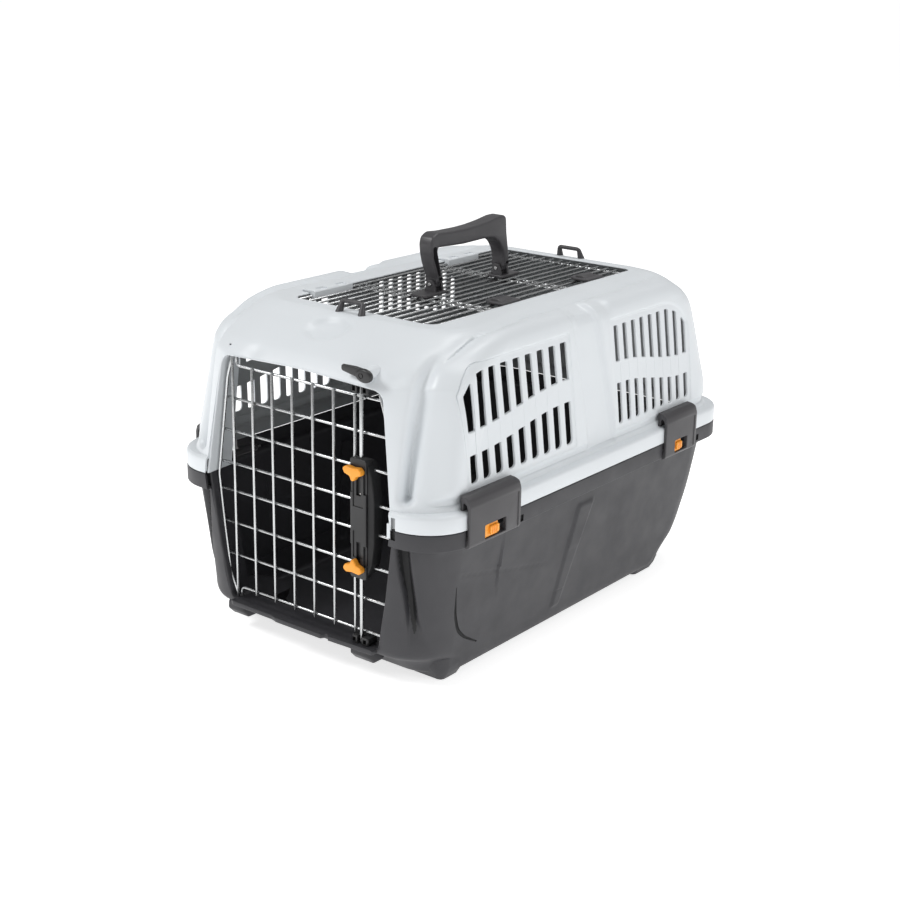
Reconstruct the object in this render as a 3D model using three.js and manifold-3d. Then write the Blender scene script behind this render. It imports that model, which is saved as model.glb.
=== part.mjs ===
// Pet transport carrier: two plastic half shells, a wire front door with a two-way rod lock,
// a wire roof hatch that carries the handle, and four side clips with orange sliding locks.
// Millimetres, +Z up. The origin is on the ground under the middle; the door faces -Y.

import * as THREE from 'three';
import { mergeVertices } from 'three/addons/utils/BufferGeometryUtils.js';
import Module from 'manifold-3d';

const wasm = await Module();
wasm.setup();

// ---------------------------------------------------------------- driving dimensions
const halfWidth = 182.4; // flange, across the carrier
const halfLength = 275; // flange, door to rear
const flangeRadius = 50;
const flangeBottom = 157;
const parting = 174; // height at which the half shells meet
const flangeTop = 192;
const roofHeight = 348.5;
const wall = 2.5;
const gap = 0.3; // between pieces that touch

// Cross-sections of the half shells, from low to high:
// [height, half width, front y, rear y, front corner radius, rear corner radius]
const tubSections = [
  [7, 146, -226, 198, 42, 42],
  [24, 152.5, -243, 222, 50, 50],
  [38, 154.5, -263, 240, 52, 52],
  [64, 158, -266, 251, 54, 52],
  [110, 164.5, -267, 259, 54, 50],
  [parting - gap, 172, -269, 265, 52, 50],
];
const topSections = [
  [parting, 173.5, -272, 266, 52, 52],
  [215, 171.5, -272, 265, 66, 50],
  [250, 169.5, -272, 258.5, 80, 55],
  [280, 167.5, -271.8, 251.5, 90, 58],
  [304, 165.5, -269.5, 245.5, 94, 60],
  [318, 164.5, -259, 238.5, 93, 60],
  [330, 162.8, -240, 225, 90, 59],
  [338, 159, -222, 213, 85, 58],
  [343, 154, -208, 206.5, 78, 56],
  [346.5, 145, -199, 203, 67, 52],
  [roofHeight, 129, -192, 200, 52, 48],
];
const shoulder = 0.085; // how far the side panels bulge over the front corners, of the radius

// Front opening: half widths at the sill, low on the jambs, at the rim and under the hood.
const sillHeight = 38;
const lipHeight = 306;
const openingSides = [[103, sillHeight], [113, 96], [123, parting], [107.5, 290]];
const openingTop = [93, lipHeight];
const jambDepth = 43;
const jambFlare = 0.065; // how much wider the opening is at the inner end of the jambs

// Roof opening and hatch.
const hatchHalfWidth = 93.2;
const hatchFront = -173.7;
const hatchRear = 186.4;
const hatchWireZ = 345.4;
const hatchWireCount = 15;
const hatchWireLeft = -89.6; // also the hatch's hinge line
const hatchWireRight = 88;
const crossWireZ = 343;
const bracketOffset = 68; // handle brackets, each side of the middle
const pairHalfGap = 6; // between the two cross wires under a handle bracket

// Door.
const doorY = -257;
const hingeX = -98;
const doorWirePitch = 27.5;
const doorWireCount = 7;
const doorCentreZ = 170.5;
const rungMiddle = 15;
const rungPitch = 35.3;
const doorBow = [[98, 294], [104, 279], [120.5, 173], [113, 120], [105.5, 66], [98, 46.8]];
const wireRadius = 1.5;

// Lock on the door.
const lockX = 77.8;
const lockY = -261;
const lockHalfHeight = 61.5;
const lockHalfWidth = 10.2;
const knobOffset = 49;
const lockRodRadius = 2;

// Vents: two rows of upright slots in each side bay, with a curved band between the rows.
const slotCount = 9;
const slotBottom = 212;
const slotTop = 323;
const bandHalf = 12;
const slotLean = -0.085; // the slots lean forwards as they rise
const leanFrom = 262;
const bays = [
  { start: -207, pitch: 20.05, half: 5.5, inner: slotCount - 1, drops: [0, 0, 12] },
  { start: 50.8, pitch: 16.95, half: 3.9, inner: 0, drops: [3, 10, 24] },
];

// Side clips: y range of each clip and half length of its lock window.
const clips = {
  front: { low: -230, high: -148, windowHalf: 16.7 },
  rear: { low: 126, high: 191, windowHalf: 13 },
};
const clipPinX = 178.5;
const clipPinZ = 160;
const clipWindow = [159.5, 173.5]; // height of the lock windows

// ---------------------------------------------------------------- solids
function solid(geometry) {
  const bare = geometry.clone();
  bare.deleteAttribute('normal');
  bare.deleteAttribute('uv');
  const merged = mergeVertices(bare, 1e-4);
  const vertProperties = new Float32Array(merged.attributes.position.array);
  const triVerts = new Uint32Array(merged.index.array);
  return new wasm.Manifold(new wasm.Mesh({ numProp: 3, vertProperties, triVerts }));
}

function join(...solids) {
  return solids.reduce((whole, next) => whole.add(next));
}

function cut(body, ...tools) {
  return tools.reduce((rest, tool) => rest.subtract(tool), body);
}

// Skin over a row of rings with equal point counts. Each ring turns anticlockwise
// seen against the direction in which the rings advance.
function loft(rings) {
  const count = rings[0].length;
  const positions = rings.flat(2);
  const index = [];
  for (let ring = 0; ring < rings.length - 1; ring += 1) {
    for (let i = 0; i < count; i += 1) {
      const a = ring * count + i;
      const b = ring * count + ((i + 1) % count);
      index.push(a, b, b + count, a, b + count, a + count);
    }
  }
  const last = (rings.length - 1) * count;
  const centres = [rings[0], rings.at(-1)].map((ring) =>
    [0, 1, 2].map((axis) => ring.reduce((sum, point) => sum + point[axis], 0) / count));
  positions.push(...centres.flat());
  const firstCentre = rings.length * count;
  for (let i = 0; i < count; i += 1) {
    const next = (i + 1) % count;
    index.push(firstCentre, next, i);
    index.push(firstCentre + 1, last + i, last + next);
  }
  const geometry = new THREE.BufferGeometry();
  geometry.setAttribute('position', new THREE.Float32BufferAttribute(positions, 3));
  geometry.setIndex(index);
  return solid(geometry);
}

// Points of a rectangle with rounded corners, anticlockwise from the rear right corner.
function roundedRing(half, front, rear, frontRadius, rearRadius, z, steps = 8, bulge = 0) {
  const corners = [
    [half - rearRadius, rear - rearRadius, rearRadius, 0],
    [-half + rearRadius, rear - rearRadius, rearRadius, 90],
    [-half + frontRadius, front + frontRadius, frontRadius, 180],
    [half - frontRadius, front + frontRadius, frontRadius, 270],
  ];
  return corners.flatMap(([x, y, radius, turn]) =>
    Array.from({ length: steps + 1 }, (_, i) => {
      const degrees = turn + (90 * i) / steps;
      const fromSide = turn === 180 ? degrees - 180 : 360 - degrees;
      const grow = turn < 180 ? 1 : 1 + bulge * Math.exp(-(((fromSide - 23) / 13) ** 2));
      const angle = THREE.MathUtils.degToRad(degrees);
      return [x + radius * grow * Math.cos(angle), y + radius * grow * Math.sin(angle), z];
    }));
}

// Half shell body: the sections skinned, each drawn in by the given amount.
function shellBody(sections, inset, lowExtra, highExtra) {
  const { smoothstep } = THREE.MathUtils;
  const rings = sections.map(([z, half, front, rear, frontRadius, rearRadius], i) => {
    const shift = i === 0 ? lowExtra : highExtra * smoothstep(z, 290, 345);
    const bulge = shoulder * smoothstep(z, 197, 215) * (1 - smoothstep(z, 315, 345));
    return roundedRing(half - inset, front + inset, rear - inset,
      frontRadius - inset, rearRadius - inset, z + shift, 8, bulge);
  });
  return loft(rings);
}

function box(low, high) {
  const size = high.map((value, axis) => value - low[axis]);
  const middle = high.map((value, axis) => (value + low[axis]) / 2);
  return solid(new THREE.BoxGeometry(...size).translate(...middle));
}

// Round bar between two points.
function bar(from, to, radius, sides = 8) {
  const start = new THREE.Vector3(...from);
  const end = new THREE.Vector3(...to);
  const along = end.clone().sub(start);
  const geometry = new THREE.CylinderGeometry(radius, radius, along.length(), sides);
  const up = new THREE.Vector3(0, 1, 0);
  geometry.applyQuaternion(new THREE.Quaternion().setFromUnitVectors(up, along.normalize()));
  const middle = start.add(end).multiplyScalar(0.5);
  return solid(geometry.translate(middle.x, middle.y, middle.z));
}

// Outline drawn in (x, z) for axis y, in (y, z) for axis x, or in (x, y) for axis z.
function prism(points, axis, start, end) {
  const outline = new THREE.Shape(points.map(([a, b]) => new THREE.Vector2(a, b)));
  const geometry = new THREE.ExtrudeGeometry(outline, { depth: end - start, bevelEnabled: false });
  if (axis === 'x') {
    const basis = new THREE.Matrix4().makeBasis(
      new THREE.Vector3(0, 1, 0), new THREE.Vector3(0, 0, 1), new THREE.Vector3(1, 0, 0));
    geometry.applyMatrix4(basis).translate(start, 0, 0);
  } else if (axis === 'y') {
    geometry.rotateX(Math.PI / 2).translate(0, end, 0);
  } else {
    geometry.translate(0, 0, start);
  }
  return solid(geometry);
}

// Bent wire through the given points, with straight runs between them.
function bentWire(points, radius, sides = 6) {
  const path = new THREE.CurvePath();
  const corners = points.map((point) => new THREE.Vector3(...point));
  corners.slice(1).forEach((corner, i) => path.add(new THREE.LineCurve3(corners[i], corner)));
  const section = new THREE.Shape(Array.from({ length: sides }, (_, i) => {
    const angle = (2 * Math.PI * i) / sides;
    return new THREE.Vector2(radius * Math.cos(angle), radius * Math.sin(angle));
  }));
  const steps = 4 * (points.length - 1);
  return solid(new THREE.ExtrudeGeometry(section, { steps, extrudePath: path }));
}

function mirrored(body) {
  return body.mirror([1, 0, 0]);
}

// ---------------------------------------------------------------- materials
const finishes = {
  topShell: { color: 0xdce0e4, roughness: 0.4, metalness: 0 },
  bottomShell: { color: 0x57575b, roughness: 0.55, metalness: 0 },
  darkPlastic: { color: 0x4e4d51, roughness: 0.5, metalness: 0 },
  blackPlastic: { color: 0x1f1f21, roughness: 0.45, metalness: 0 },
  orangePlastic: { color: 0xf3a32c, roughness: 0.4, metalness: 0 },
  wire: { color: 0xc8cacc, roughness: 0.25, metalness: 1 },
};

const carrier = new THREE.Group();

function addPart(name, body, finish) {
  const { vertProperties, triVerts } = body.getMesh();
  const geometry = new THREE.BufferGeometry();
  geometry.setAttribute('position', new THREE.BufferAttribute(vertProperties, 3));
  geometry.setIndex(new THREE.BufferAttribute(triVerts, 1));
  geometry.computeVertexNormals();
  const mesh = new THREE.Mesh(geometry, new THREE.MeshStandardMaterial(finishes[finish]));
  mesh.name = name;
  carrier.add(mesh);
}

// ---------------------------------------------------------------- shared shell features
// Outline of the front opening at depth y, grown outwards by the given amount.
function openingRing(y, grow) {
  const flare = 1 + (jambFlare * (y + halfLength)) / jambDepth;
  const side = [...openingSides, openingTop];
  const right = side.map(([x, z], i) => {
    const lift = i === 0 ? -grow : i === side.length - 1 ? grow : 0;
    return [x * flare + grow, y, z + lift];
  });
  const left = right.map(([x, , z]) => [-x, y, z]).reverse();
  return [...right, ...left];
}

function openingCut() {
  return loft([openingRing(-halfLength + jambDepth + 1, 0), openingRing(-halfLength - 2, 0)]);
}

// Tunnel that lines the front opening, before the opening itself is cut out of it.
function jambTunnel(outer) {
  const back = -halfLength + jambDepth;
  return loft([openingRing(back, wall), openingRing(-halfLength - 2, wall)]).intersect(outer);
}

function flangeBand(low, high) {
  const ring = (z) =>
    roundedRing(halfWidth, -halfLength, halfLength, flangeRadius, flangeRadius, z);
  return loft([ring(low), ring(high)]);
}

// ---------------------------------------------------------------- bottom shell
function footSolid(frontY, rearY) {
  const pad = (z, grow) => [
    [104 - grow / 3, frontY - grow, z],
    [143.5 + grow / 2, frontY - grow, z],
    [143.5 + grow / 2, rearY + grow, z],
    [104 - grow / 3, rearY + grow, z],
  ];
  return loft([pad(0, 0), pad(14, 12)]);
}

// Pocket in the dark flange that takes the lower end of a side clip, and its pin hole.
function clipPocket({ low, high }) {
  const pocket = box([172.9, low - 1, 144], [halfWidth + 3, high + 1, parting + 1]);
  const hole = bar([clipPinX, low - 9, clipPinZ], [clipPinX, high + 9, clipPinZ], 1.9);
  return pocket.add(hole);
}

function bottomShell() {
  const outer = shellBody(tubSections, 0, 0, 0);
  const inner = shellBody(tubSections, wall, wall, 0)
    .add(flangeBand(parting - 1, parting + 1).intersect(
      shellBody([[parting - 2, ...tubSections.at(-1).slice(1)],
        [parting + 2, ...tubSections.at(-1).slice(1)]], wall, 0, 0)));
  const feet = [footSolid(-216, -187), footSolid(143, 182)].flatMap((f) => [f, mirrored(f)]);
  const tunnel = jambTunnel(outer.add(flangeBand(flangeBottom, parting - gap)));
  const hingeHole = bar([hingeX, doorY - 1.3, 30], [hingeX, doorY - 1.3, 45], 2.3);
  const pockets = Object.values(clips).map(clipPocket);
  const body = join(outer, flangeBand(flangeBottom, parting - gap), ...feet).subtract(inner);
  return cut(body.add(tunnel), openingCut(), hingeHole, ...pockets, ...pockets.map(mirrored));
}

// ---------------------------------------------------------------- top shell
// One slot of a bay in two rows. The outer three slots are cut down to follow the arched bay.
function ventSlot(bay, i) {
  const y = bay.start + bay.pitch * i;
  const steps = Math.abs(i - bay.inner);
  const outward = steps / (slotCount - 1);
  const bandMiddle = 269 - 17 * THREE.MathUtils.smoothstep(outward, 0.05, 0.95);
  const top = slotTop - (bay.drops[steps - slotCount + 3] ?? 0);
  const row = (low, high) => {
    const corners = [[-bay.half, low], [bay.half, low], [bay.half, high], [-bay.half, high]];
    return prism(corners.map(([dy, z]) => [y + dy + slotLean * (z - leanFrom), z]), 'x', 140, 190);
  };
  return row(slotBottom, bandMiddle - bandHalf).add(row(bandMiddle + bandHalf, top));
}

// Shallow upright channel between the two bays of a side.
function bayChannel() {
  return prism([[-22, 352], [18, 352], [44, 200], [-2, 200]], 'x', 169.5, 176);
}

function topShell() {
  const outer = shellBody(topSections, 0, 0, 0);
  const inner = shellBody(topSections, wall, -2, -wall);
  const tunnel = jambTunnel(outer.add(flangeBand(parting, flangeTop)));
  const hatch = loft([roofHeight - 20, roofHeight + 5].map((z) =>
    roundedRing(hatchHalfWidth, hatchFront, hatchRear, 7, 7, z, 3)));
  const slots = bays.flatMap((bay) =>
    Array.from({ length: slotCount }, (_, i) => ventSlot(bay, i)));
  const vents = join(...slots);
  const boss = bar([toggleX, -250, toggleZ], [toggleX, toggleBack + gap, toggleZ], 7, 12);
  const pinHole = bar([toggleX, -280, toggleZ], [toggleX, -252, toggleZ], 2.3, 10);
  const hingeHole = bar([hingeX, doorY - 1.3, 300], [hingeX, doorY - 1.3, 316], 2.3);
  const body = outer.add(flangeBand(parting, flangeTop)).subtract(inner).add(tunnel).add(boss);
  return cut(body, openingCut(), hatch, vents, mirrored(vents), pinHole, hingeHole,
    bayChannel(), mirrored(bayChannel()));
}

// ---------------------------------------------------------------- front door
function doorGrille() {
  const front = doorY - 1.3;
  const back = doorY + 1.3;
  const bars = [];
  for (let i = 0; i < doorWireCount; i += 1) {
    const x = hingeX + doorWirePitch * i;
    const [low, high] = i === 0 ? [34.5, 308] : [47, 294];
    bars.push(bar([x, front, low], [x, front, high], wireRadius, 6));
  }
  for (let i = 0; i < 4; i += 1) {
    const offset = rungMiddle + rungPitch * i;
    for (const z of [doorCentreZ - offset, doorCentreZ + offset]) {
      const reach = bowReach(z);
      bars.push(bar([-reach, back, z], [reach, back, z], wireRadius, 6));
    }
  }
  const bow = bentWire(doorBow.map(([x, z]) => [-x, front, z]), wireRadius);
  return join(...bars, bow, mirrored(bow));
}

// Half width of the door's bowed side wires at a height.
function bowReach(z) {
  const i = doorBow.findIndex(([, low]) => low <= z);
  const [upper, lower] = [doorBow[Math.max(i - 1, 0)], doorBow[Math.max(i, 1)]];
  const share = (upper[1] - z) / (upper[1] - lower[1]);
  return upper[0] + (lower[0] - upper[0]) * share;
}

// ---------------------------------------------------------------- door lock
const lockFrontY = -266.5;
const lockSplitY = -257.5;
const knobStem = [knobOffset - 2.5, knobOffset + 2.5];
const knobTravel = 12;

function lockFront() {
  const z = doorCentreZ;
  const shell = box([lockX - lockHalfWidth, lockFrontY, z - lockHalfHeight],
    [lockX + lockHalfWidth, lockSplitY, z + lockHalfHeight]);
  const tools = [-1, 1].flatMap((side) => {
    const [low, high] = side > 0 ? [z + 3, z + 58] : [z - 58, z - 3];
    const slot = [side * (knobStem[0] - knobTravel - 1), side * (knobStem[1] + 1)].sort((a, b) => a - b);
    return [
      box([lockX - 7, lockFrontY + 2.2, low], [lockX + 7, lockSplitY + 1, high]),
      box([lockX - 3, lockFrontY - 1, z + slot[0]], [lockX + 3, lockFrontY + 3, z + slot[1]]),
      bar([lockX, lockY, z + side * 50], [lockX, lockY, z + side * 65], 2.4, 10),
    ];
  });
  return cut(shell, wireChannel(), ...tools);
}

// Room for the door upright that runs along the lock's left edge.
function wireChannel() {
  return box([60, -260.3, 100], [69, doorY + 0.6, 240]);
}

function lockBack() {
  const left = lockX - lockHalfWidth;
  const z = doorCentreZ;
  const outline = [[0, -59], [20, -59], [25.2, -45], [28.5, -22], [28.5, 22], [25.2, 45],
    [20, 59], [0, 59]].map(([x, h]) => [left + x, z + h]);
  const grooves = [];
  for (let i = 0; i < 2; i += 1) {
    const offset = rungMiddle + rungPitch * i;
    for (const wireZ of [z - offset, z + offset]) {
      grooves.push(box([left - 1, -258, wireZ - 1.9], [99, doorY + 3.2, wireZ + 1.9]));
    }
  }
  return cut(prism(outline, 'y', lockSplitY + gap, -249.5), wireChannel(), ...grooves);
}

function lockRod(side) {
  const z = doorCentreZ;
  const tip = side > 0 ? 302.5 : 40.4;
  const rod = bar([lockX, lockY, z + side * 16], [lockX, lockY, tip], lockRodRadius, 10);
  const collar = bar([lockX, lockY, z + side * 27], [lockX, lockY, z + side * 30], 3, 10);
  return rod.add(collar);
}

function lockKnob(side) {
  const z = doorCentreZ + side * knobOffset;
  const outline = [[-14.8, 3], [-10, 5.6], [6, 5.6], [9.8, 2.6], [8.8, -2], [3, -3.6],
    [-0.5, -8.6], [-3.5, -8.6], [-5.2, -4], [-12, -2.4]];
  const wing = prism(outline.map(([x, h]) => [lockX + x, z + side * h]), 'y', -273,
    lockFrontY - gap);
  const stem = box([lockX - 2.5, lockFrontY - 1, z - 2.5], [lockX + 2.5, lockY - 2.3, z + 2.5]);
  return wing.add(stem);
}

class Helix extends THREE.Curve {
  constructor(start, end, turns, radius) {
    super();
    Object.assign(this, { start, end, turns, radius });
  }

  getPoint(t) {
    const angle = 2 * Math.PI * this.turns * t;
    return new THREE.Vector3(lockX + this.radius * Math.cos(angle),
      lockY + this.radius * Math.sin(angle), this.start + (this.end - this.start) * t);
  }
}

function lockSpring(side) {
  const [from, to] = [4.2, 26.2].map((offset) => doorCentreZ + side * offset);
  const section = new THREE.Shape(Array.from({ length: 5 }, (_, i) =>
    new THREE.Vector2(0.4 * Math.cos(i * 1.2566), 0.4 * Math.sin(i * 1.2566))));
  const extrudePath = new Helix(Math.min(from, to), Math.max(from, to), 6, 2.6);
  return solid(new THREE.ExtrudeGeometry(section, { steps: 48, extrudePath }));
}

// Catch block that a rod tip drops into; its mouth faces forwards.
function rodKeeper(low, high) {
  const block = box([lockX - 9.8, -264, low], [lockX + 11.2, -250, high]);
  const mouth = box([lockX - 2.7, -265, low - 1], [lockX + 2.7, lockY + 2.7, high + 1]);
  return block.subtract(mouth);
}

// ---------------------------------------------------------------- safety toggle
const toggleX = 89;
const toggleZ = 318;
const toggleBack = -269.3;
const toggleFront = -274.6;

function safetyToggle() {
  const hub = bar([toggleX, toggleFront, toggleZ], [toggleX, toggleBack, toggleZ], 9, 16);
  const arm = prism([[60, 315], [toggleX, 313], [toggleX, 324], [60, 321]],
    'y', toggleFront + 1, toggleBack);
  const hole = bar([toggleX, -280, toggleZ], [toggleX, -260, toggleZ], 2.3, 10);
  return hub.add(arm).subtract(hole);
}

// ---------------------------------------------------------------- roof hatch
const hatchPitch = (hatchWireRight - hatchWireLeft) / (hatchWireCount - 1);
const crossWires = [-166, -bracketOffset - pairHalfGap, -bracketOffset + pairHalfGap,
  bracketOffset - pairHalfGap, bracketOffset + pairHalfGap, 179];

function hatchGrille() {
  const bars = [];
  for (let i = 0; i < hatchWireCount; i += 1) {
    const x = hatchWireLeft + hatchPitch * i;
    bars.push(bar([x, -170, hatchWireZ], [x, 183, hatchWireZ], i === 0 ? 1.5 : 1.25, 6));
  }
  for (const y of crossWires) {
    bars.push(bar([hatchWireLeft - 1, y, crossWireZ], [hatchWireRight + 1, y, crossWireZ], 1.5, 6));
  }
  return join(...bars);
}

// Clip on the roof that wraps the hatch's edge wire.
function hatchHinge(low, high) {
  const plate = box([-105, low, roofHeight + gap], [-86, high, 351.6]);
  const block = box([-92.8, low, 340.8], [-86, high, 351.6]);
  const hole = bar([hatchWireLeft, low - 1, hatchWireZ], [hatchWireLeft, high + 1, hatchWireZ], 1.9);
  return plate.add(block).subtract(hole);
}

// Sliding latch: thumb plate above the wires, foot below, and a leg between two wires.
function hatchLatch(low, high) {
  const top = box([66, low, 347], [92.6, high, 350]);
  const rib = box([74, low + 6, 349], [78, high - 6, 352.5]);
  const leg = box([82.4, low + 4, 340], [85.8, high - 4, 348]);
  const foot = box([72, low + 4, 338], [92.6, high - 4, 341]);
  return join(top, rib, leg, foot);
}

// ---------------------------------------------------------------- carry handle
const pivots = { front: -56, rear: 60 }; // y of the two handle pivots
const pivotZ = 357.5;
const legHalf = 4.7; // half thickness of a leg at its pivot, along y
const handleHalf = 9.2; // half width of the handle, along x
const earGap = 5; // from a pivot's middle to the bracket ear
const ear = 3;

// Side view of the bow: outer line from the front foot over to the rear foot, then the finger gap.
function carryHandle() {
  const outer = [[-60.7, 362], [-60.7, 363.6], [-64.5, 372], [-68.5, 382], [-71.3, 392], [-72.4, 402], [-69.5, 409],
    [-61.5, 412.8], [-45, 411.5], [-16, 411.2], [4, 412], [24, 414], [42, 416.8], [52, 417],
    [57.5, 413], [59.5, 397], [62.3, 384], [64.4, 371], [64.7, 362], [55.3, 362], [55.3, 369],
    [53.2, 377], [46, 388], [34, 394.4], [18, 395.6], [-16, 394.9], [-59, 396.8], [-61, 394],
    [-57.5, 379], [-53, 366], [-51.3, 362]];
  const bow = prism(outer, 'x', -handleHalf, handleHalf);
  const feet = Object.values(pivots).flatMap((y) => [
    bar([0, y - legHalf, pivotZ], [0, y + legHalf, pivotZ], 5, 12),
    prism([[-4.6, pivotZ], [4.6, pivotZ], [handleHalf, 361.6], [handleHalf, 362.2],
      [-handleHalf, 362.2], [-handleHalf, 361.6]], 'y', y - legHalf, y + legHalf),
  ]);
  const holes = Object.values(pivots).map((y) =>
    bar([0, y - 20, pivotZ], [0, y + 20, pivotZ], 2.4, 10));
  return cut(join(bow, ...feet), ...holes);
}

// Plate on the hatch wires with an ear on each side of the handle's foot.
function handleBracket(middle, pivot) {
  const inner = pivot - Math.sign(middle) * (earGap + ear + 2);
  const outer = middle + Math.sign(middle) * 16;
  const base = box([-11, Math.min(inner, outer), 347], [11, Math.max(inner, outer), 350.2]);
  const ears = [-1, 1].map((side) => {
    const [low, high] = [side * earGap, side * (earGap + ear)].sort((a, b) => a - b);
    return bar([0, pivot + low, pivotZ], [0, pivot + high, pivotZ], 5.2, 12)
      .add(box([-5.2, pivot + low, 349], [5.2, pivot + high, pivotZ]));
  });
  const legs = [-7, 5.5].map((x) =>
    box([x - 1.6, middle - 2.5, 341.2], [x + 1.6, middle + 2.5, 348]));
  const hole = bar([0, pivot - 20, pivotZ], [0, pivot + 20, pivotZ], 2.4, 10);
  return join(base, ...ears, ...legs).subtract(hole);
}

// ---------------------------------------------------------------- side clips
// Section of a clip in (x, z): barrel at the pin, plate over both flanges, hook on the upper one.
function sideClip({ low, high, windowHalf }) {
  const plate = prism([[177, 157], [181, 155], [184.5, 155.6], [186.4, 158], [186.4, 197],
    [184.2, 203.5], [179.5, 206.8], [173.8, 208], [173.8, 192.4], [177, 192.4], [177.2, 201],
    [181.2, 199.5], [182.8, 194], [182.8, 165], [178, 164]], 'y', low, high);
  const barrel = bar([clipPinX, low, clipPinZ], [clipPinX, high, clipPinZ], 4.2, 12);
  const hole = bar([clipPinX, low - 1, clipPinZ], [clipPinX, high + 1, clipPinZ], 1.9);
  const middle = (low + high) / 2;
  const window = box([182, middle - windowHalf, clipWindow[0]],
    [188, middle + windowHalf, clipWindow[1]]);
  return plate.add(barrel).subtract(hole).subtract(window);
}

function clipLock({ low, high, windowHalf }) {
  const middle = (low + high) / 2;
  const half = windowHalf - 6;
  const [start, end] = [middle - windowHalf + 0.4, middle - windowHalf + 0.4 + 2 * half];
  const [bottom, top] = [clipWindow[0] + 0.4, clipWindow[1] - 0.4];
  const block = box([182.9, start, bottom], [185.6, end, top]);
  const grip = box([185, start + half - 3, bottom + 2], [187.6, start + half + 3, top - 2]);
  return block.add(grip);
}

// ---------------------------------------------------------------- strap loops
function strapLoop(y) {
  const outer = [[-18.4, 348.8], [-15.2, 362], [15.2, 362], [18.4, 348.8], [12.4, 348.8],
    [11, 357.6], [-11, 357.6], [-12.4, 348.8]];
  const foot = [-15.4, 15.4].map((x) => box([x - 4, y - 3.6, 348.8], [x + 4, y + 3.6, 350.4]));
  return join(prism(outer, 'y', y - 2.2, y + 2.2), ...foot);
}

// ---------------------------------------------------------------- assembly
addPart('bottom_shell', bottomShell(), 'bottomShell');
addPart('top_shell', topShell(), 'topShell');
addPart('front_door_grille', doorGrille(), 'wire');
addPart('lock_housing_front', lockFront(), 'blackPlastic');
addPart('lock_housing_back', lockBack(), 'blackPlastic');
for (const [name, side] of [['upper', 1], ['lower', -1]]) {
  addPart(`lock_rod_${name}`, lockRod(side), 'wire');
  addPart(`lock_knob_${name}`, lockKnob(side), 'orangePlastic');
  addPart(`lock_spring_${name}`, lockSpring(side), 'wire');
}
addPart('rod_keeper_upper', rodKeeper(297, 305.5), 'blackPlastic');
addPart('rod_keeper_lower', rodKeeper(sillHeight + gap, 46), 'blackPlastic');
addPart('safety_toggle', safetyToggle(), 'blackPlastic');
addPart('safety_toggle_pin',
  bar([toggleX, -274.9, toggleZ], [toggleX, -256, toggleZ], 2, 10), 'wire');
addPart('roof_grille', hatchGrille(), 'wire');
addPart('roof_hinge_front', hatchHinge(-148, -88), 'topShell');
addPart('roof_hinge_rear', hatchHinge(78, 134), 'topShell');
addPart('roof_latch_front', hatchLatch(-58, -26), 'darkPlastic');
addPart('roof_latch_rear', hatchLatch(98, 130), 'darkPlastic');
addPart('carry_handle', carryHandle(), 'darkPlastic');
for (const [name, pivot] of Object.entries(pivots)) {
  const y = Math.sign(pivot) * bracketOffset;
  const reach = earGap + ear + 0.5;
  addPart(`handle_bracket_${name}`, handleBracket(y, pivot), 'darkPlastic');
  addPart(`handle_clamp_${name}`, box([-13, y - 11, 338], [13, y + 11, 340.9]), 'darkPlastic');
  addPart(`handle_pin_${name}`,
    bar([0, pivot - reach, pivotZ], [0, pivot + reach, pivotZ], 2, 10), 'wire');
}
for (const [end, clip] of Object.entries(clips)) {
  for (const [side, place] of [['right', (body) => body], ['left', mirrored]]) {
    const pin = bar([clipPinX, clip.low - 7, clipPinZ], [clipPinX, clip.high + 7, clipPinZ], 1.6);
    addPart(`side_clip_${end}_${side}`, place(sideClip(clip)), 'darkPlastic');
    addPart(`clip_lock_${end}_${side}`, place(clipLock(clip)), 'orangePlastic');
    addPart(`clip_pin_${end}_${side}`, place(pin), 'wire');
  }
}
addPart('strap_loop_front', strapLoop(-185), 'darkPlastic');
addPart('strap_loop_rear', strapLoop(195.5), 'darkPlastic');

export default carrier;
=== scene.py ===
"""Looks of the pet transport carrier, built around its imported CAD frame. Metres, +Z up, door at -Y."""

import math
import bpy
import bmesh
import numpy as np
from mathutils import Matrix, Vector


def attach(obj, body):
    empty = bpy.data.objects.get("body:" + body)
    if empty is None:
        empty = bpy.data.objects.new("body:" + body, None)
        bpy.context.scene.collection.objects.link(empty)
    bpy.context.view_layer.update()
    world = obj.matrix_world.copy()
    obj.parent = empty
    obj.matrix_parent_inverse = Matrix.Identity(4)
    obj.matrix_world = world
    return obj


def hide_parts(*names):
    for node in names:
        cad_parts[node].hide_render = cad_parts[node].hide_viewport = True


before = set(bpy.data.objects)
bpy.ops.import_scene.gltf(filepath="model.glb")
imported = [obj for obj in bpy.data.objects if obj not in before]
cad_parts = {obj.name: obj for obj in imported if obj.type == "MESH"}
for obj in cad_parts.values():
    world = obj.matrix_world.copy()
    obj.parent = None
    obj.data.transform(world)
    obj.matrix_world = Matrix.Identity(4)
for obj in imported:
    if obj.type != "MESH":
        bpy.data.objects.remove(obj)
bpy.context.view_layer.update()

# ---------------------------------------------------------------- driving dimensions
HALF_WIDTH = 0.1824
HALF_LENGTH = 0.275
FLANGE_RADIUS = 0.050
FLANGE_LOW = 0.157
PARTING = 0.174
FLANGE_HIGH = 0.192
ROOF = 0.3485
WALL = 0.0025
SIDE_POINTS = 200  # points of a shell's section along a side, round a corner and across an end
CORNER_POINTS = 96
END_POINTS = 60
SHOULDER = 0.085  # bulge of the side panels over the front corners, as a share of the corner radius

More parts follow.
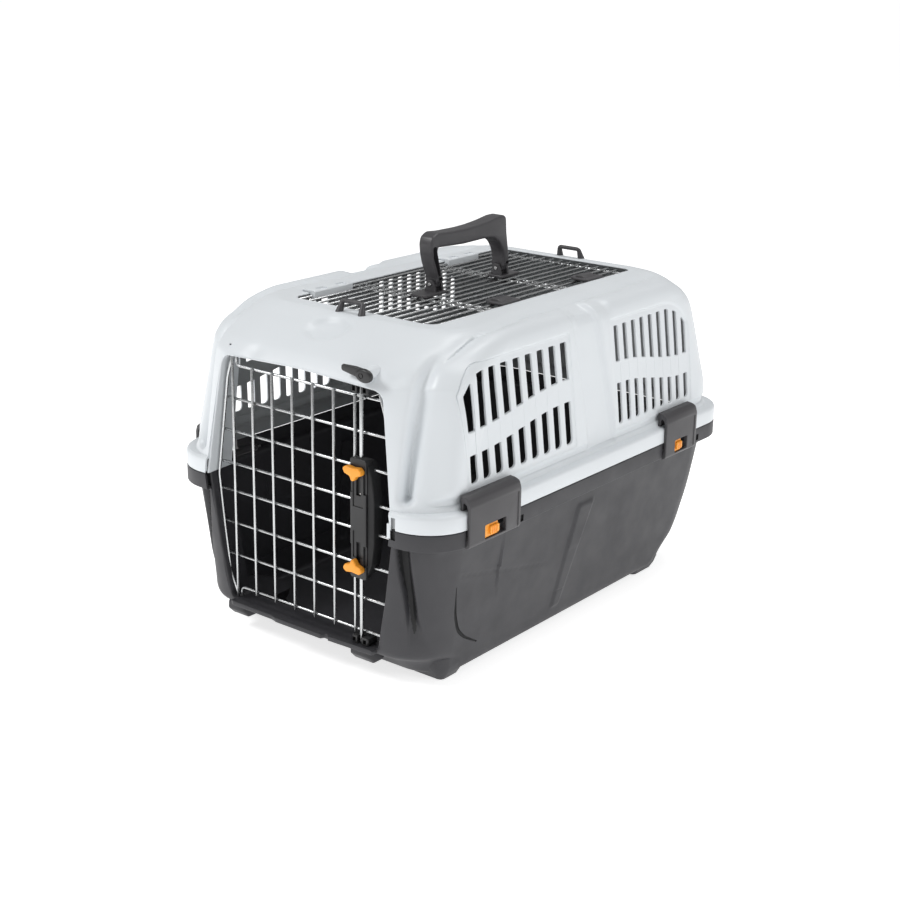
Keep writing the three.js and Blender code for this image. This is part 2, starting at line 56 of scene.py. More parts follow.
# Outer sections of the shells: height, half width, front y, rear y, front radius, rear radius.
TOP_SECTIONS = [
    (0.1930, 0.1742, -0.2722, 0.2664, 0.055, 0.052),
    (0.1965, 0.1728, -0.2720, 0.2655, 0.056, 0.051),
    (0.2150, 0.1716, -0.2720, 0.2650, 0.066, 0.050),
    (0.2500, 0.1695, -0.2720, 0.2585, 0.080, 0.055),
    (0.2800, 0.1675, -0.2718, 0.2515, 0.090, 0.058),
    (0.3040, 0.1655, -0.2695, 0.2455, 0.094, 0.060),
    (0.3180, 0.1645, -0.2590, 0.2385, 0.093, 0.060),
    (0.3300, 0.1628, -0.2400, 0.2260, 0.090, 0.059),
    (0.3375, 0.1595, -0.2235, 0.2145, 0.086, 0.058),
    (0.3420, 0.1555, -0.2110, 0.2080, 0.080, 0.056),
    (0.3455, 0.1490, -0.2020, 0.2040, 0.072, 0.053),
    (0.3475, 0.1400, -0.1960, 0.2020, 0.062, 0.050),
    (ROOF, 0.1290, -0.1920, 0.2000, 0.052, 0.048),
]
TUB_SECTIONS = [
    (0.0070, 0.1460, -0.2270, 0.1980, 0.040, 0.040),
    (0.0090, 0.1490, -0.2295, 0.2030, 0.043, 0.043),
    (0.0140, 0.1510, -0.2340, 0.2110, 0.047, 0.047),
    (0.0240, 0.1525, -0.2440, 0.2220, 0.050, 0.050),
    (0.0340, 0.1540, -0.2620, 0.2350, 0.052, 0.052),
    (0.0400, 0.1548, -0.2640, 0.2410, 0.052, 0.052),
    (0.0640, 0.1580, -0.2660, 0.2510, 0.054, 0.052),
    (0.1000, 0.1630, -0.2670, 0.2580, 0.054, 0.050),
    (0.1555, 0.1705, -0.2690, 0.2640, 0.052, 0.050),
]

# Front opening: right-hand corners from the sill up, each with its rounding.
JAMB_CORNERS = [(0.1005, 0.0380, 0.007), (0.1125, 0.0980, 0.080), (0.1232, PARTING, 0.0)]
HOOD_CORNERS = [(0.1232, PARTING, 0.0), (0.1056, 0.3030, 0.013), (0.0, 0.3078, 0.600)]
JAMB_BACK = -0.2365
JAMB_FLARE = 0.0025
OPENING_GROWTH = 0.0022

# Roof hatch.
HATCH = (0.0932, -0.1737, 0.1864)
HATCH_WIRE_Z = 0.3454
HATCH_AXLE_X = -0.0896
HATCH_LAST_X = 0.0880
HATCH_WIRES = 15
CROSS_WIRE_Z = 0.3430
BRACKET_Y = 0.068
PIVOTS = {"front": -0.056, "rear": 0.060}
PIVOT_Z = 0.3575
HATCH_HINGES = {"front": (-0.148, -0.088), "rear": (0.078, 0.134)}
HATCH_LATCHES = {"front": (-0.058, -0.026), "rear": (0.098, 0.130)}

# Door and its lock.
HINGE_X = -0.098
DOOR_FRONT = -0.2583
DOOR_BACK = -0.2557
DOOR_PITCH = 0.0275
RUNGS = (0.2914, 0.2561, 0.2208, 0.1855, 0.1555, 0.1202, 0.0849, 0.0496)
DOOR_WIRE = 0.0015
DOOR_AXLE = (0.0345, 0.3078)  # low and high end
END_RUNG_TIPS = (0.3018, 0.0402)  # heights of the bent ends of the top and the bottom rung
LOCK_X = 0.0778
LOCK_Y = -0.261
LOCK_Z = 0.1705
LOCK_HALF_WIDTH = 0.0102
LOCK_HALF_HEIGHT = 0.0615
LOCK_FRONT = -0.2665
KNOB_OFFSET = 0.049
TOGGLE = (0.089, 0.318)

# Vents: first slot's y at height LEAN_FROM, pitch, half width, index of the slot next to the channel.
SLOTS = 9
BAYS = [(-0.207, 0.02005, 0.0055, 8), (0.0508, 0.01695, 0.0039, 0)]
PANELS = ((-0.2195, -0.0365), (0.0395, 0.1955))  # front and rear ends of the slotted panels
SLOT_LEAN = -0.085  # the slots lean forwards as they rise
LEAN_FROM = 0.262
SLOT_LOW = 0.212
SLOT_HIGH = 0.320
BAND_HALF = 0.0118

# Side clips: low y, high y, half length of the window.
CLIPS = {"front": (-0.230, -0.148, 0.0167), "rear": (0.126, 0.191, 0.013)}
CLIP_PIN = (0.1785, 0.160)
CLIP_WINDOW = (0.1595, 0.1735)

# Feet: front and rear ends of a front and a rear foot
FEET = ((-0.216, -0.187), (0.143, 0.182))

# Camera: azimuth, elevation and roll in degrees, place in metres, focal length in millimetres
CAMERA_ANGLES = (38.03, 18.14, 0.94)
CAMERA_PLACE = (1.0458, -1.3616, 0.7207)
CAMERA_LENS = 64.55


# ---------------------------------------------------------------- small mesh tools
def smooth(low, high, value):
    share = np.clip((np.asarray(value, float) - low) / (high - low), 0, 1)
    return share * share * (3 - 2 * share)


def hump(value, width):
    """A bell curve: 1 at 0, and near 0 beyond twice its width."""
    return np.exp(-(value / width) ** 2)


def between(low, high, edge, value):
    """1 from low to high and 0 outside, with soft edges."""
    return smooth(low - edge, low + edge, value) * (1 - smooth(high - edge, high + edge, value))


def rect(low, high):
    """Corners of a rectangle, anticlockwise from its low corner."""
    return [(low[0], low[1]), (high[0], low[1]), (high[0], high[1]), (low[0], high[1])]


def both_spans(centre, near, far):
    """The span from near to far above a centre, and its mirror image below it."""
    return [(centre + near, centre + far), (centre - far, centre - near)]


def shoulder_growth(angle, z):
    """Share by which a front corner's radius grows, at an angle from the side and a height."""
    rise = SHOULDER * smooth(0.197, 0.215, z) * (1 - smooth(0.315, 0.345, z))
    return rise * hump(angle - 0.40, 0.227)


class Sections:
    """A table of sections read at any height, smoothly and without overshoot."""

    def __init__(self, rows):
        table = np.array(rows, float)
        self.z = table[:, 0]
        self.values = table[:, 1:]
        steps = np.diff(self.values, axis=0) / np.diff(self.z)[:, None]
        product = steps[1:] * steps[:-1]
        total = np.where(product > 0, steps[1:] + steps[:-1], 1)
        inner = np.where(product > 0, 2 * product / total, 0)
        self.slopes = np.vstack([steps[:1], inner, steps[-1:]])

    def at(self, z):
        z = np.atleast_1d(np.asarray(z, float))
        i = np.clip(np.searchsorted(self.z, z) - 1, 0, len(self.z) - 2)
        span = (self.z[i + 1] - self.z[i])[:, None]
        t = np.clip((z - self.z[i])[:, None] / span, 0, 1)
        low, high = self.values[i], self.values[i + 1]
        rise = self.slopes[i] * span, self.slopes[i + 1] * span
        return (low * (1 + 2 * t) * (1 - t) ** 2 + rise[0] * t * (1 - t) ** 2
                + high * t * t * (3 - 2 * t) + rise[1] * t * t * (t - 1))

    def side_x(self, y, z):
        """Half width of the outer wall at y and z, round the corners too."""
        half, front, rear, front_radius, rear_radius = self.at(z).T
        into_front = np.clip((front + front_radius - y) / front_radius, 0, 0.98)
        into_rear = np.clip(y - rear + rear_radius, 0, rear_radius * 0.98)
        grow = np.ones_like(half)
        for _ in range(6):
            angle = np.arcsin(into_front / grow)
            grow = 1 + shoulder_growth(angle, z)
        return (half - front_radius + front_radius * grow * np.cos(angle)
                - rear_radius + np.sqrt(rear_radius ** 2 - into_rear ** 2))

    def front_y(self, x, z):
        half, front, _, radius, _ = self.at(z).T
        into = np.clip(np.abs(x) - half + radius, 0, radius * 0.98)
        return front + radius - np.sqrt(radius ** 2 - into ** 2)


top_form = Sections(TOP_SECTIONS)
tub_form = Sections(TUB_SECTIONS)


def ring(z, half, front, rear, front_radius, rear_radius):
    """One closed section, anticlockwise, with the same point count whatever its size."""
    fx, rx = half - front_radius, half - rear_radius
    fy, ry = front + front_radius, rear - rear_radius
    quarter = np.linspace(0, math.pi / 2, CORNER_POINTS, endpoint=False)
    share = np.linspace(0, 1, SIDE_POINTS, endpoint=False)
    across = np.linspace(0, 1, END_POINTS, endpoint=False)

    def corner(cx, cy, radius, turn, from_side=None):
        reach = radius * (1 if from_side is None else 1 + shoulder_growth(from_side, z))
        return np.column_stack([cx + reach * np.cos(quarter + turn),
                                cy + reach * np.sin(quarter + turn)])

    def line(start, finish, steps):
        return np.column_stack([start[i] + (finish[i] - start[i]) * steps for i in (0, 1)])

    flat = np.vstack([
        corner(rx, ry, rear_radius, 0), line((rx, rear), (-rx, rear), across),
        corner(-rx, ry, rear_radius, math.pi / 2), line((-half, ry), (-half, fy), share),
        corner(-fx, fy, front_radius, math.pi, quarter), line((-fx, front), (fx, front), across),
        corner(fx, fy, front_radius, -math.pi / 2, math.pi / 2 - quarter),
        line((half, fy), (half, ry), share)])
    return np.column_stack([flat, np.full(len(flat), z)])


def make_object(name, points, faces):
    mesh = bpy.data.meshes.new(name)
    mesh.from_pydata([tuple(p) for p in points], [], faces)
    mesh.update()
    obj = bpy.data.objects.new(name, mesh)
    bpy.context.scene.collection.objects.link(obj)
    return obj


def skin(name, rings, cap_low=False, cap_high=False):
    """Quads between neighbouring rings, with optional flat caps."""
    count = len(rings[0])
    faces = []
    for level in range(len(rings) - 1):
        base = level * count
        for i in range(count):
            j = (i + 1) % count
            faces.append((base + i, base + j, base + count + j, base + count + i))
    if cap_low:
        faces.append(tuple(range(count - 1, -1, -1)))
    if cap_high:
        last = (len(rings) - 1) * count
        faces.append(tuple(range(last, last + count)))
    return make_object(name, np.vstack(rings), faces)


def settle(obj):
    """Applies every modifier."""
    depsgraph = bpy.context.evaluated_depsgraph_get()
    mesh = bpy.data.meshes.new_from_object(obj.evaluated_get(depsgraph))
    obj.modifiers.clear()
    obj.data = mesh
    return obj


def boolean(obj, tool, operation="DIFFERENCE"):
    change = obj.modifiers.new("join", "BOOLEAN")
    change.operation = operation
    change.solver = "MANIFOLD"
    change.object = tool
    settle(obj)
    bpy.data.objects.remove(tool)
    return obj


def add_slots(obj, count):
    """Empty material slots, so that faces can already point to the later ones."""
    for _ in range(count):
        obj.data.materials.append(None)


def with_painted_shade(tool, slot=1):
    """Gives a cutter a later material slot, so that what it cuts shows that material as painted shade."""
    add_slots(tool, slot + 1)
    tool.data.polygons.foreach_set("material_index", [slot] * len(tool.data.polygons))
    return tool


def outward(obj):
    edit = bmesh.new()
    edit.from_mesh(obj.data)
    bmesh.ops.recalc_face_normals(edit, faces=edit.faces)
    edit.to_mesh(obj.data)
    edit.free()
    return obj


def shade(obj, angle=32):
    obj.data.polygons.foreach_set("use_smooth", [True] * len(obj.data.polygons))
    obj.data.set_sharp_from_angle(angle=math.radians(angle))
    return obj


def merge(name, parts):
    """Several solids as one object."""
    points, faces = [], []
    for part in parts:
        start = len(points)
        points.extend(tuple(v.co) for v in part.data.vertices)
        faces.extend(tuple(start + i for i in p.vertices) for p in part.data.polygons)
        bpy.data.objects.remove(part)
    return make_object(name, points, faces)


def fillet(points, radius=0.0, closed=True, steps=5):
    """A polyline in 2-D or 3-D with its corners rounded. radius is one value or one per point."""
    points = [np.array(p, float) for p in points]
    count = len(points)
    radii = radius if isinstance(radius, (list, tuple)) else [radius] * count
    result = []
    for i, here in enumerate(points):
        if not closed and i in (0, count - 1):
            result.append(here)
            continue
        back = points[i - 1] - here
        ahead = points[(i + 1) % count] - here
        reach = min(np.linalg.norm(back), np.linalg.norm(ahead)) * 0.48
        back, ahead = back / np.linalg.norm(back), ahead / np.linalg.norm(ahead)
        half = math.acos(float(np.clip(back @ ahead, -1, 1))) / 2
        if radii[i] <= 0 or half > 1.565:
            result.append(here)
            continue
        cutback = min(radii[i] / math.tan(half), reach)
        arc_radius = cutback * math.tan(half)
        middle = back + ahead
        centre = here + middle / np.linalg.norm(middle) * (arc_radius / math.sin(half))
        start, finish = here + back * cutback - centre, here + ahead * cutback - centre
        sweep = math.pi - 2 * half
        for k in range(steps + 1):
            t = k / steps
            result.append(centre + (math.sin((1 - t) * sweep) * start
                                    + math.sin(t * sweep) * finish) / math.sin(sweep))
    return np.array(result)


def outline_normals(outline, closed=True):
    """Unit normals to the right of the direction of travel, mitred."""
    ahead = np.roll(outline, -1, axis=0) - outline
    if not closed:
        ahead[-1] = ahead[-2]
    ahead /= np.linalg.norm(ahead, axis=1)[:, None] + 1e-12
    before = np.roll(ahead, 1, axis=0)
    if not closed:
        before[0] = ahead[0]
    mean = ahead + before
    length = np.linalg.norm(mean, axis=1)[:, None]
    mean /= length
    stretch = np.clip(2 / length, 1, 1.6)
    return np.column_stack([mean[:, 1], -mean[:, 0]]) * stretch


def stack(name, outline, stations, place):
    """A closed solid: the outline repeated at each (position, growth), capped at both ends."""
    outline = np.array(outline, float)
    after = np.roll(outline, -1, axis=0)
    area = np.sum(outline[:, 0] * after[:, 1] - after[:, 0] * outline[:, 1])
    if area < 0:
        outline = outline[::-1]
    normals = outline_normals(outline)
    rings = [[place(a, b, position) for a, b in outline + normals * growth]
             for position, growth in stations]
    return outward(skin(name, [np.array(r, float) for r in rings], True, True))


PLACES = {
    "x": lambda a, b, t: (t, a, b),
    "y": lambda a, b, t: (a, t, b),
    "z": lambda a, b, t: (a, b, t),
}


def rim(edge, steps):
    """(distance from the end, inset) along a rounded rim, from the wall to the end face."""
    turn = [math.pi / 2 * k / steps for k in range(steps + 1)]
    return [(edge * (1 - math.sin(a)), edge * (1 - math.cos(a))) for a in turn]


def slab(name, outline, axis, low, high, edge=0.001, steps=3):
    """An extruded outline whose rims are rounded by edge."""
    rows = rim(edge, steps)
    stations = [(low + rise, -inset) for rise, inset in rows[::-1]]
    stations += [(high - rise, -inset) for rise, inset in rows]
    return stack(name, outline, stations, PLACES[axis])


def block(name, low, high, edge=0.001, corner=None):
    """A box with rounded rims; its plan corners may be rounder."""
    corner = edge if corner is None else corner
    return slab(name, fillet(rect(low, high), corner, steps=4), "z", low[2], high[2], edge)


def tube(name, path, radius, sides=12, dome=True):
    """A round bar along a path, with domed ends."""
    path = np.array(path, float)
    along = np.gradient(path, axis=0)
    along /= np.linalg.norm(along, axis=1)[:, None]
    side = np.cross(along[0], (0.31, 0.52, 0.79))
    side /= np.linalg.norm(side)
    angles = np.linspace(0, 2 * math.pi, sides, endpoint=False)
    rings = []
    for i, centre in enumerate(path):
        side = side - along[i] * (side @ along[i])
        side /= np.linalg.norm(side)
        other = np.cross(along[i], side)
        circle = np.outer(np.cos(angles), side) + np.outer(np.sin(angles), other)
        if i == 0 and dome:
            rings += [centre + circle * radius * 0.55 - along[0] * radius * 0.42,
                      centre + circle * radius * 0.87 - along[0] * radius * 0.28]
        rings.append(centre + circle * radius)
        if i == len(path) - 1 and dome:
            rings += [centre + circle * radius * 0.87 + along[-1] * radius * 0.28,
                      centre + circle * radius * 0.55 + along[-1] * radius * 0.42]
    return skin(name, rings, True, True)


def disc(name, centre, radius, low, high, edge=0.0008, axis="y"):
    angles = np.linspace(0, 2 * math.pi, 28, endpoint=False)
    outline = np.column_stack([centre[0] + radius * np.cos(angles), centre[1] + radius * np.sin(angles)])
    return slab(name, outline, axis, low, high, edge)


def side_copy(obj, name, side=-1):
    """A copy of a right-hand piece, mirrored to the left when side is -1."""
    points = [(side * v.co.x, v.co.y, v.co.z) for v in obj.data.vertices]
    faces = [tuple(p.vertices)[::side] for p in obj.data.polygons]
    copy = make_object(name, points, faces)
    indices = [p.material_index for p in obj.data.polygons]
    if any(indices):
        add_slots(copy, 2)
        copy.data.polygons.foreach_set("material_index", indices)
    return copy


# ---------------------------------------------------------------- materials
def node_material(name):
    material = bpy.data.materials.new(name)
    material.use_nodes = True
    tree = material.node_tree
    return material, tree, tree.nodes["Principled BSDF"]


def set_inputs(node, values):
    for name, value in values.items():
        node.inputs[name].default_value = value


def noise(tree, scale, detail=3.0, stretch=None):
    coordinates = tree.nodes.new("ShaderNodeTexCoord")
    texture = tree.nodes.new("ShaderNodeTexNoise")
    set_inputs(texture, {"Scale": scale, "Detail": detail})
    source = coordinates.outputs["Object"]
    if stretch:
        mapping = tree.nodes.new("ShaderNodeMapping")
        set_inputs(mapping, {"Scale": stretch})
        tree.links.new(source, mapping.inputs["Vector"])
        source = mapping.outputs["Vector"]
    tree.links.new(source, texture.inputs["Vector"])
    return texture.outputs["Fac"]


def spread(tree, source, low, high):
    """Maps a noise value to the range low..high."""
    node = tree.nodes.new("ShaderNodeMapRange")
    set_inputs(node, {"From Min": 0.3, "From Max": 0.7, "To Min": low, "To Max": high})
    tree.links.new(source, node.inputs["Value"])
    return node.outputs["Result"]


def tint(tree, factor, dark, light):
    ramp = tree.nodes.new("ShaderNodeMix")
    ramp.data_type = "RGBA"
    set_inputs(ramp, {6: (*dark, 1), 7: (*light, 1)})  # the two colour inputs
    tree.links.new(factor, ramp.inputs["Factor"])
    return ramp.outputs[2]


def bumps(tree, shader, layers):
    """Chains bump layers of (height socket, distance in metres, strength)."""
    previous = None
    for height, distance, strength in layers:
        node = tree.nodes.new("ShaderNodeBump")
        set_inputs(node, {"Distance": distance, "Strength": strength})
        tree.links.new(height, node.inputs["Height"])
        if previous:
            tree.links.new(previous, node.inputs["Normal"])
        previous = node.outputs["Normal"]
    tree.links.new(previous, shader.inputs["Normal"])


def plastic(name, colour, roughness, grain=900, grain_strength=0.25, variation=0.04):
    """Moulded plastic: a fine spark-eroded grain, slow colour drift and flow marks."""
    material, tree, shader = node_material(name)
    drift = spread(tree, noise(tree, 9), 0, 1)
    dark = [c * (1 - variation) for c in colour]
    light = [min(c * (1 + variation), 1) for c in colour]
    tree.links.new(tint(tree, drift, dark, light), shader.inputs["Base Color"])
    polish = spread(tree, noise(tree, 34, 5), roughness - 0.05, roughness + 0.07)
    tree.links.new(polish, shader.inputs["Roughness"])
    bumps(tree, shader, [
        (noise(tree, 22, 2), 0.0006, 0.12),
        (noise(tree, grain, 2), 0.00012, grain_strength)])
    return material


def metal(name, colour, roughness, streak=(1, 1, 1)):
    """Plated steel: drawn-wire streaks and a slightly uneven shine."""
    material, tree, shader = node_material(name)
    set_inputs(shader, {"Metallic": 1.0})
    drift = spread(tree, noise(tree, 60, 4), 0, 1)
    dark = [c * 0.86 for c in colour]
    tree.links.new(tint(tree, drift, dark, colour), shader.inputs["Base Color"])
    polish = spread(tree, noise(tree, 160, 4), roughness - 0.06, roughness + 0.10)
    tree.links.new(polish, shader.inputs["Roughness"])
    bumps(tree, shader, [(noise(tree, 700, 3, streak), 0.00006, 0.3)])
    return material


PALE = plastic("pale_plastic", (0.700, 0.732, 0.757), 0.40, grain_strength=0.18, variation=0.012)
# Darker copy of the pale plastic: painted shade for the upper shell's inner faces.
PALE_PAINTED_SHADE = plastic("pale_plastic_painted_shade", (0.330, 0.345, 0.355), 0.55, variation=0.02)
DARK = plastic("dark_plastic", (0.0335, 0.0330, 0.0375), 0.50, variation=0.05)
# Near-black painted shade for grooves, slots, pockets and windows, darker than the black plastic.
PAINTED_SHADE_BLACK = plastic("painted_shade_black", (0.0075, 0.0080, 0.0088), 0.65, variation=0.05)
SATIN = plastic("satin_plastic", (0.054, 0.052, 0.056), 0.42, variation=0.05)
BLACK = plastic("black_plastic", (0.016, 0.016, 0.017), 0.40, variation=0.08)
ORANGE = plastic("orange_plastic", (0.93, 0.36, 0.030), 0.36, grain=1400, grain_strength=0.12,
                 variation=0.05)
WIRE = metal("plated_wire", (0.60, 0.61, 0.615), 0.24)
STEEL = metal("spring_steel", (0.55, 0.55, 0.55), 0.30, (1, 1, 8))


def finish_piece(obj, body, nodes, materials, angle=32):
    materials = materials if isinstance(materials, tuple) else (materials,)
    indices = [min(p.material_index, len(materials) - 1) for p in obj.data.polygons]
    obj.data.materials.clear()
    for material in materials:
        obj.data.materials.append(material)
    obj.data.polygons.foreach_set("material_index", indices)
    shade(obj, angle)
    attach(obj, body)
    if nodes:
        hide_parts(*nodes)
    return obj


def dress_node(node, material):
    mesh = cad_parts[node].data
    mesh.materials.clear()
    mesh.materials.append(material)


# ---------------------------------------------------------------- front opening
def opening_line(corners):
    """Open polyline from the right-hand end of the corners round to the left-hand end."""
    right = [(x, z) for x, z, _ in corners if x > 0.0001 or len(corners) < 3]
    middle = [(x, z) for x, z, _ in corners if x <= 0.0001]
    left = [(-x, z) for x, z in reversed(right)]
    radii = [r for x, _, r in corners if x > 0.0001]
    middle_radii = [r for x, _, r in corners if x <= 0.0001]
    return fillet(right + middle + left, radii + middle_radii + radii[::-1], closed=False, steps=8)


def jamb_ribbon(name, line, form):
    """Lining of the opening: rounded into the front face, then running back with a slight flare."""
    normals = outline_normals(line, closed=False)
    centre = line.mean(axis=0)
    facing = np.sign(np.sum(normals * (line - centre), axis=1).sum())
    normals *= facing
    profile = [(0.0030, 0.0, 0.0006), (0.0022, 0.0, -0.0002), (0.0010, 0.0, 0.0), (0.0003, 0.0, 0.0008),
               (0.0, 0.0, 0.0020), (JAMB_FLARE * 0.5, 0.5, 0.0), (JAMB_FLARE, 1.0, 0.0),
               (JAMB_FLARE + WALL, 1.0, 0.0), (0.5 * JAMB_FLARE + WALL, 0.5, 0.0)]
    rings = []
    for point, normal in zip(line, normals):
        loop = []
        for growth, share, extra in profile:
            x, z = point + normal * growth
            front = float(form.front_y(x, z)[0])
            loop.append((x, front + (JAMB_BACK - front) * share + extra, z))
        rings.append(np.array(loop))
    return outward(skin(name, rings, True, True))


def opening_cutter():
    """Prism of the whole opening, slightly larger than it, for cutting both shells."""
    jambs = opening_line(JAMB_CORNERS[::-1])
    hood = opening_line(HOOD_CORNERS)
    outline = np.vstack([hood[:-1], jambs[::-1][:-1]])
    return stack("opening_cutter", outline, [(-0.300, OPENING_GROWTH), (-0.225, OPENING_GROWTH)],
                 PLACES["y"])


def axle_hole(low, high):
    """Cutter for the end of the door's axle, which turns in both shells."""
    return disc("pivot_hole", (HINGE_X, DOOR_FRONT), 0.0022, low, high, 0.0002, axis="z")


# ---------------------------------------------------------------- top shell
def channel_mask(x, y, z):
    """1 in the upright channel between the two bays of a side."""
    slant = (z - 0.190) / 0.135
    low, high = -0.005 - 0.025 * slant, 0.046 - 0.031 * slant
    return between(low, high, 0.0035, y) * smooth(0.133, 0.145, np.abs(x))


def arch_height(y):
    """Upper border of the slotted panels, falling in an arc at the outer ends."""
    front = np.clip((-0.183 - y) / 0.0443, 0, 0.99)
    rear = np.clip((y - 0.140) / 0.061, 0, 0.99)
    return 0.262 + 0.062 * np.sqrt(1 - np.maximum(front, rear) ** 2)


def leaned(y, z):
    """Where a point of a leaning slot lies at height z."""
    return y + SLOT_LEAN * (z - LEAN_FROM)


def panel_mask(x, y, z):
    """1 inside the two shallow recessed panels that carry the slots."""
    edge = 0.0016
    upright = y - SLOT_LEAN * (z - LEAN_FROM)
    mask = sum(between(start, finish, edge, upright) for start, finish in PANELS)
    top = arch_height(y) + 0.0035
    below = 1 - smooth(top - edge, top + edge, z)
    above = smooth(0.2065 - edge, 0.2065 + edge, z)
    return mask * below * above * smooth(0.142, 0.150, np.abs(x))


def front_crease(x, y, z):
    """Deep upright valley between the door's jamb and the side panel, with a round lower end."""
    offset = np.abs(x) - (0.1365 - 0.004 * smooth(0.300, 0.335, z))
    width = np.where(offset < 0, 0.0052, 0.0068)
    depth = 0.0085 + 0.0065 * (1 - smooth(0.205, 0.330, z))
    fade = smooth(0.1965, 0.2060, z) * (1 - smooth(-0.235, -0.205, y))
    return depth * hump(offset, width) * fade


def roof_valley(x, y, z):
    """Long shallow valley between the flat roof and the side panels."""
    centre = np.interp(y, [-0.235, -0.190, -0.133, -0.075, 0.080, 0.180],
                       [0.1400, 0.1390, 0.1375, 0.1305, 0.1280, 0.1225])
    offset = np.abs(x) - centre
    depth = np.where(offset < 0, 0.0036, 0.0050)
    width = np.where(offset < 0, 0.0085, 0.0065)
    ends = smooth(-0.245, -0.215, y) * (1 - smooth(0.150, 0.200, y))
    return depth * hump(offset, width) * ends * smooth(0.322, 0.338, z)


def panel_shoulder(x, y, z):
    """Rounded upper edge of the side panels, standing a little proud of the body."""
    spans = between(-0.225, -0.020, 0.006, y) + between(0.036, 0.185, 0.006, y)
    return 0.0026 * hump(np.abs(x) - 0.1545, 0.0085) * spans * smooth(0.326, 0.338, z)


def top_relief(x, y, z):
    """How far the upper shell's surface sinks below its plain form."""
    wide = np.abs(x)
    foot = (1 - smooth(0.2015, 0.2065, z)) * smooth(0.196, 0.1985, z) * smooth(0.150, 0.165, wide)
    channel = channel_mask(x, y, z) * smooth(0.1955, 0.1985, z)
    step = 0.0045 * (1 - (1 - channel) * (1 - 0.55 * foot))
    panel = 0.0011 * panel_mask(x, y, z)
    dent = 0.0058 * np.exp(-(((x + 0.004) / 0.023) ** 2 + ((y + 0.219) / 0.017) ** 2) ** 4)
    dimples = sum(0.0016 * np.exp(-(((x - cx) / 0.009) ** 2 + ((z - 0.3135) / 0.006) ** 2))
                  for cx in (-0.060, 0.113)) * (y < -0.2)
    soft = 1 - channel_mask(x, y, z) * 0.6
    return (front_crease(x, y, z) + roof_valley(x, y, z) * soft + step + panel + dent + dimples
            - panel_shoulder(x, y, z))


def panel_line_cutters():
    """Round-bottomed grooves along the borders of the slotted panels."""
    cutters = []
    for start, finish in PANELS:
        ys = np.linspace(start, finish, 60)
        arch = [(y, float(arch_height(y)) + 0.0035) for y in ys]
        line = [(start, z) for z in np.linspace(0.2090, arch[0][1], 24)[:-1]] + arch
        line += [(finish, z) for z in np.linspace(arch[-1][1], 0.2090, 24)[1:]]
        line = [(leaned(y, z), z) for y, z in line]
        for side in (1, -1):
            path = [(side * (float(top_form.side_x(y, z)[0]) - 0.0002), y, z) for y, z in line]
            cutters.append(tube("border", path, 0.0008, 8))
    return merge("border_cutters", cutters)


def slot_outlines(bay):
    """The (y, z) outlines of a bay's slots: a lower and an upper row with a curved band between."""
    start, pitch, half, inner = bay
    outlines = []
    for i in range(SLOTS):
        y = start + pitch * i
        edges = np.array([y - half, y + half])
        outward_share = np.abs((edges - start) / pitch - inner) / (SLOTS - 1)
        band = band_height(outward_share)
        roof = np.minimum(arch_height(leaned(edges, 0.310)) - 0.0032, SLOT_HIGH)
        low, high = band - BAND_HALF, band + BAND_HALF
        for floor, ceiling, radii in (((SLOT_LOW, SLOT_LOW), low, [0.0022, 0.0048, 0.0008, 0.0008]),
                                      (high, roof, [0.0008, 0.0008, 0.0012, 0.0012])):
            corners = zip(edges[[0, 1, 1, 0]], (*floor, ceiling[1], ceiling[0]))
            radii = [min(radius, 0.9 * half) for radius in radii]
            outlines.append(fillet([(leaned(a, b), b) for a, b in corners], radii, steps=4))
    return outlines


def upper_wall(side):
    """Puts (y, z, distance outwards) on one side wall of the upper shell."""
    return lambda a, b, t: (side * (float(top_form.side_x(a, b)[0]) + t), a, b)


def band_height(share):
    """Middle height of the curved band, at a share of the way from a bay's inner to its outer end."""
    return 0.269 - 0.017 * smooth(0.05, 0.95, share)


def vent_cutters():
    cutters = []
    stations = [(-0.0120, 0.0), (-0.0020, 0.0), (-0.0012, 0.0009), (0.0060, 0.0009)]
    for side in (1, -1):
        for bay in BAYS:
            for outline in slot_outlines(bay):
                cutters.append(stack("slot", outline, stations, upper_wall(side)))
    return merge("slot_cutters", cutters)


def line_cutters():
    """Hairline grooves that run on across the band from the rear edge of each slot."""
    cutters = []
    for side in (1, -1):
        for start, pitch, half, inner in BAYS:
            for i in range(SLOTS - 1):
                y = start + pitch * i + half - 0.0004
                share = abs((y - start) / pitch - inner) / (SLOTS - 1)
                band = float(band_height(share))
                low, high = band - BAND_HALF - 0.001, band + BAND_HALF + 0.001
                outline = [(leaned(a, b), b) for a, b in rect((y - 0.00025, low), (y + 0.00025, high))]
                cutters.append(stack("line", outline, [(-0.0015, 0), (0.003, 0)], upper_wall(side)))
    return merge("line_cutters", cutters)


def flange_rings(low, high, round_low, round_high):
    """Outer face of a parting flange with rounded rims."""
    rows = [(low + rise, inset) for rise, inset in rim(round_low, 3)[::-1]]
    rows += [(high - rise, inset) for rise, inset in rim(round_high, 4)]
    rings = []
    for z, inset in rows:
        front_inset = min(inset, 0.0022)
        rings.append(ring(z, HALF_WIDTH - inset, -HALF_LENGTH + front_inset, HALF_LENGTH - inset,
                          FLANGE_RADIUS - inset, FLANGE_RADIUS - inset))
    return rings


def form_rings(form, heights):
    return [ring(z, *form.at(z)[0]) for z in heights]


def sink(obj, relief):
    """Moves a surface inwards along its normals by the relief at each point."""
    count = len(obj.data.vertices)
    points = np.empty(count * 3)
    obj.data.vertices.foreach_get("co", points)
    points = points.reshape(-1, 3)
    normals = np.array([tuple(n.vector) for n in obj.data.vertex_normals])
    depth = relief(points[:, 0], points[:, 1], points[:, 2])
    obj.data.vertices.foreach_set("co", (points - normals * depth[:, None]).ravel())
    obj.data.update()
    return obj


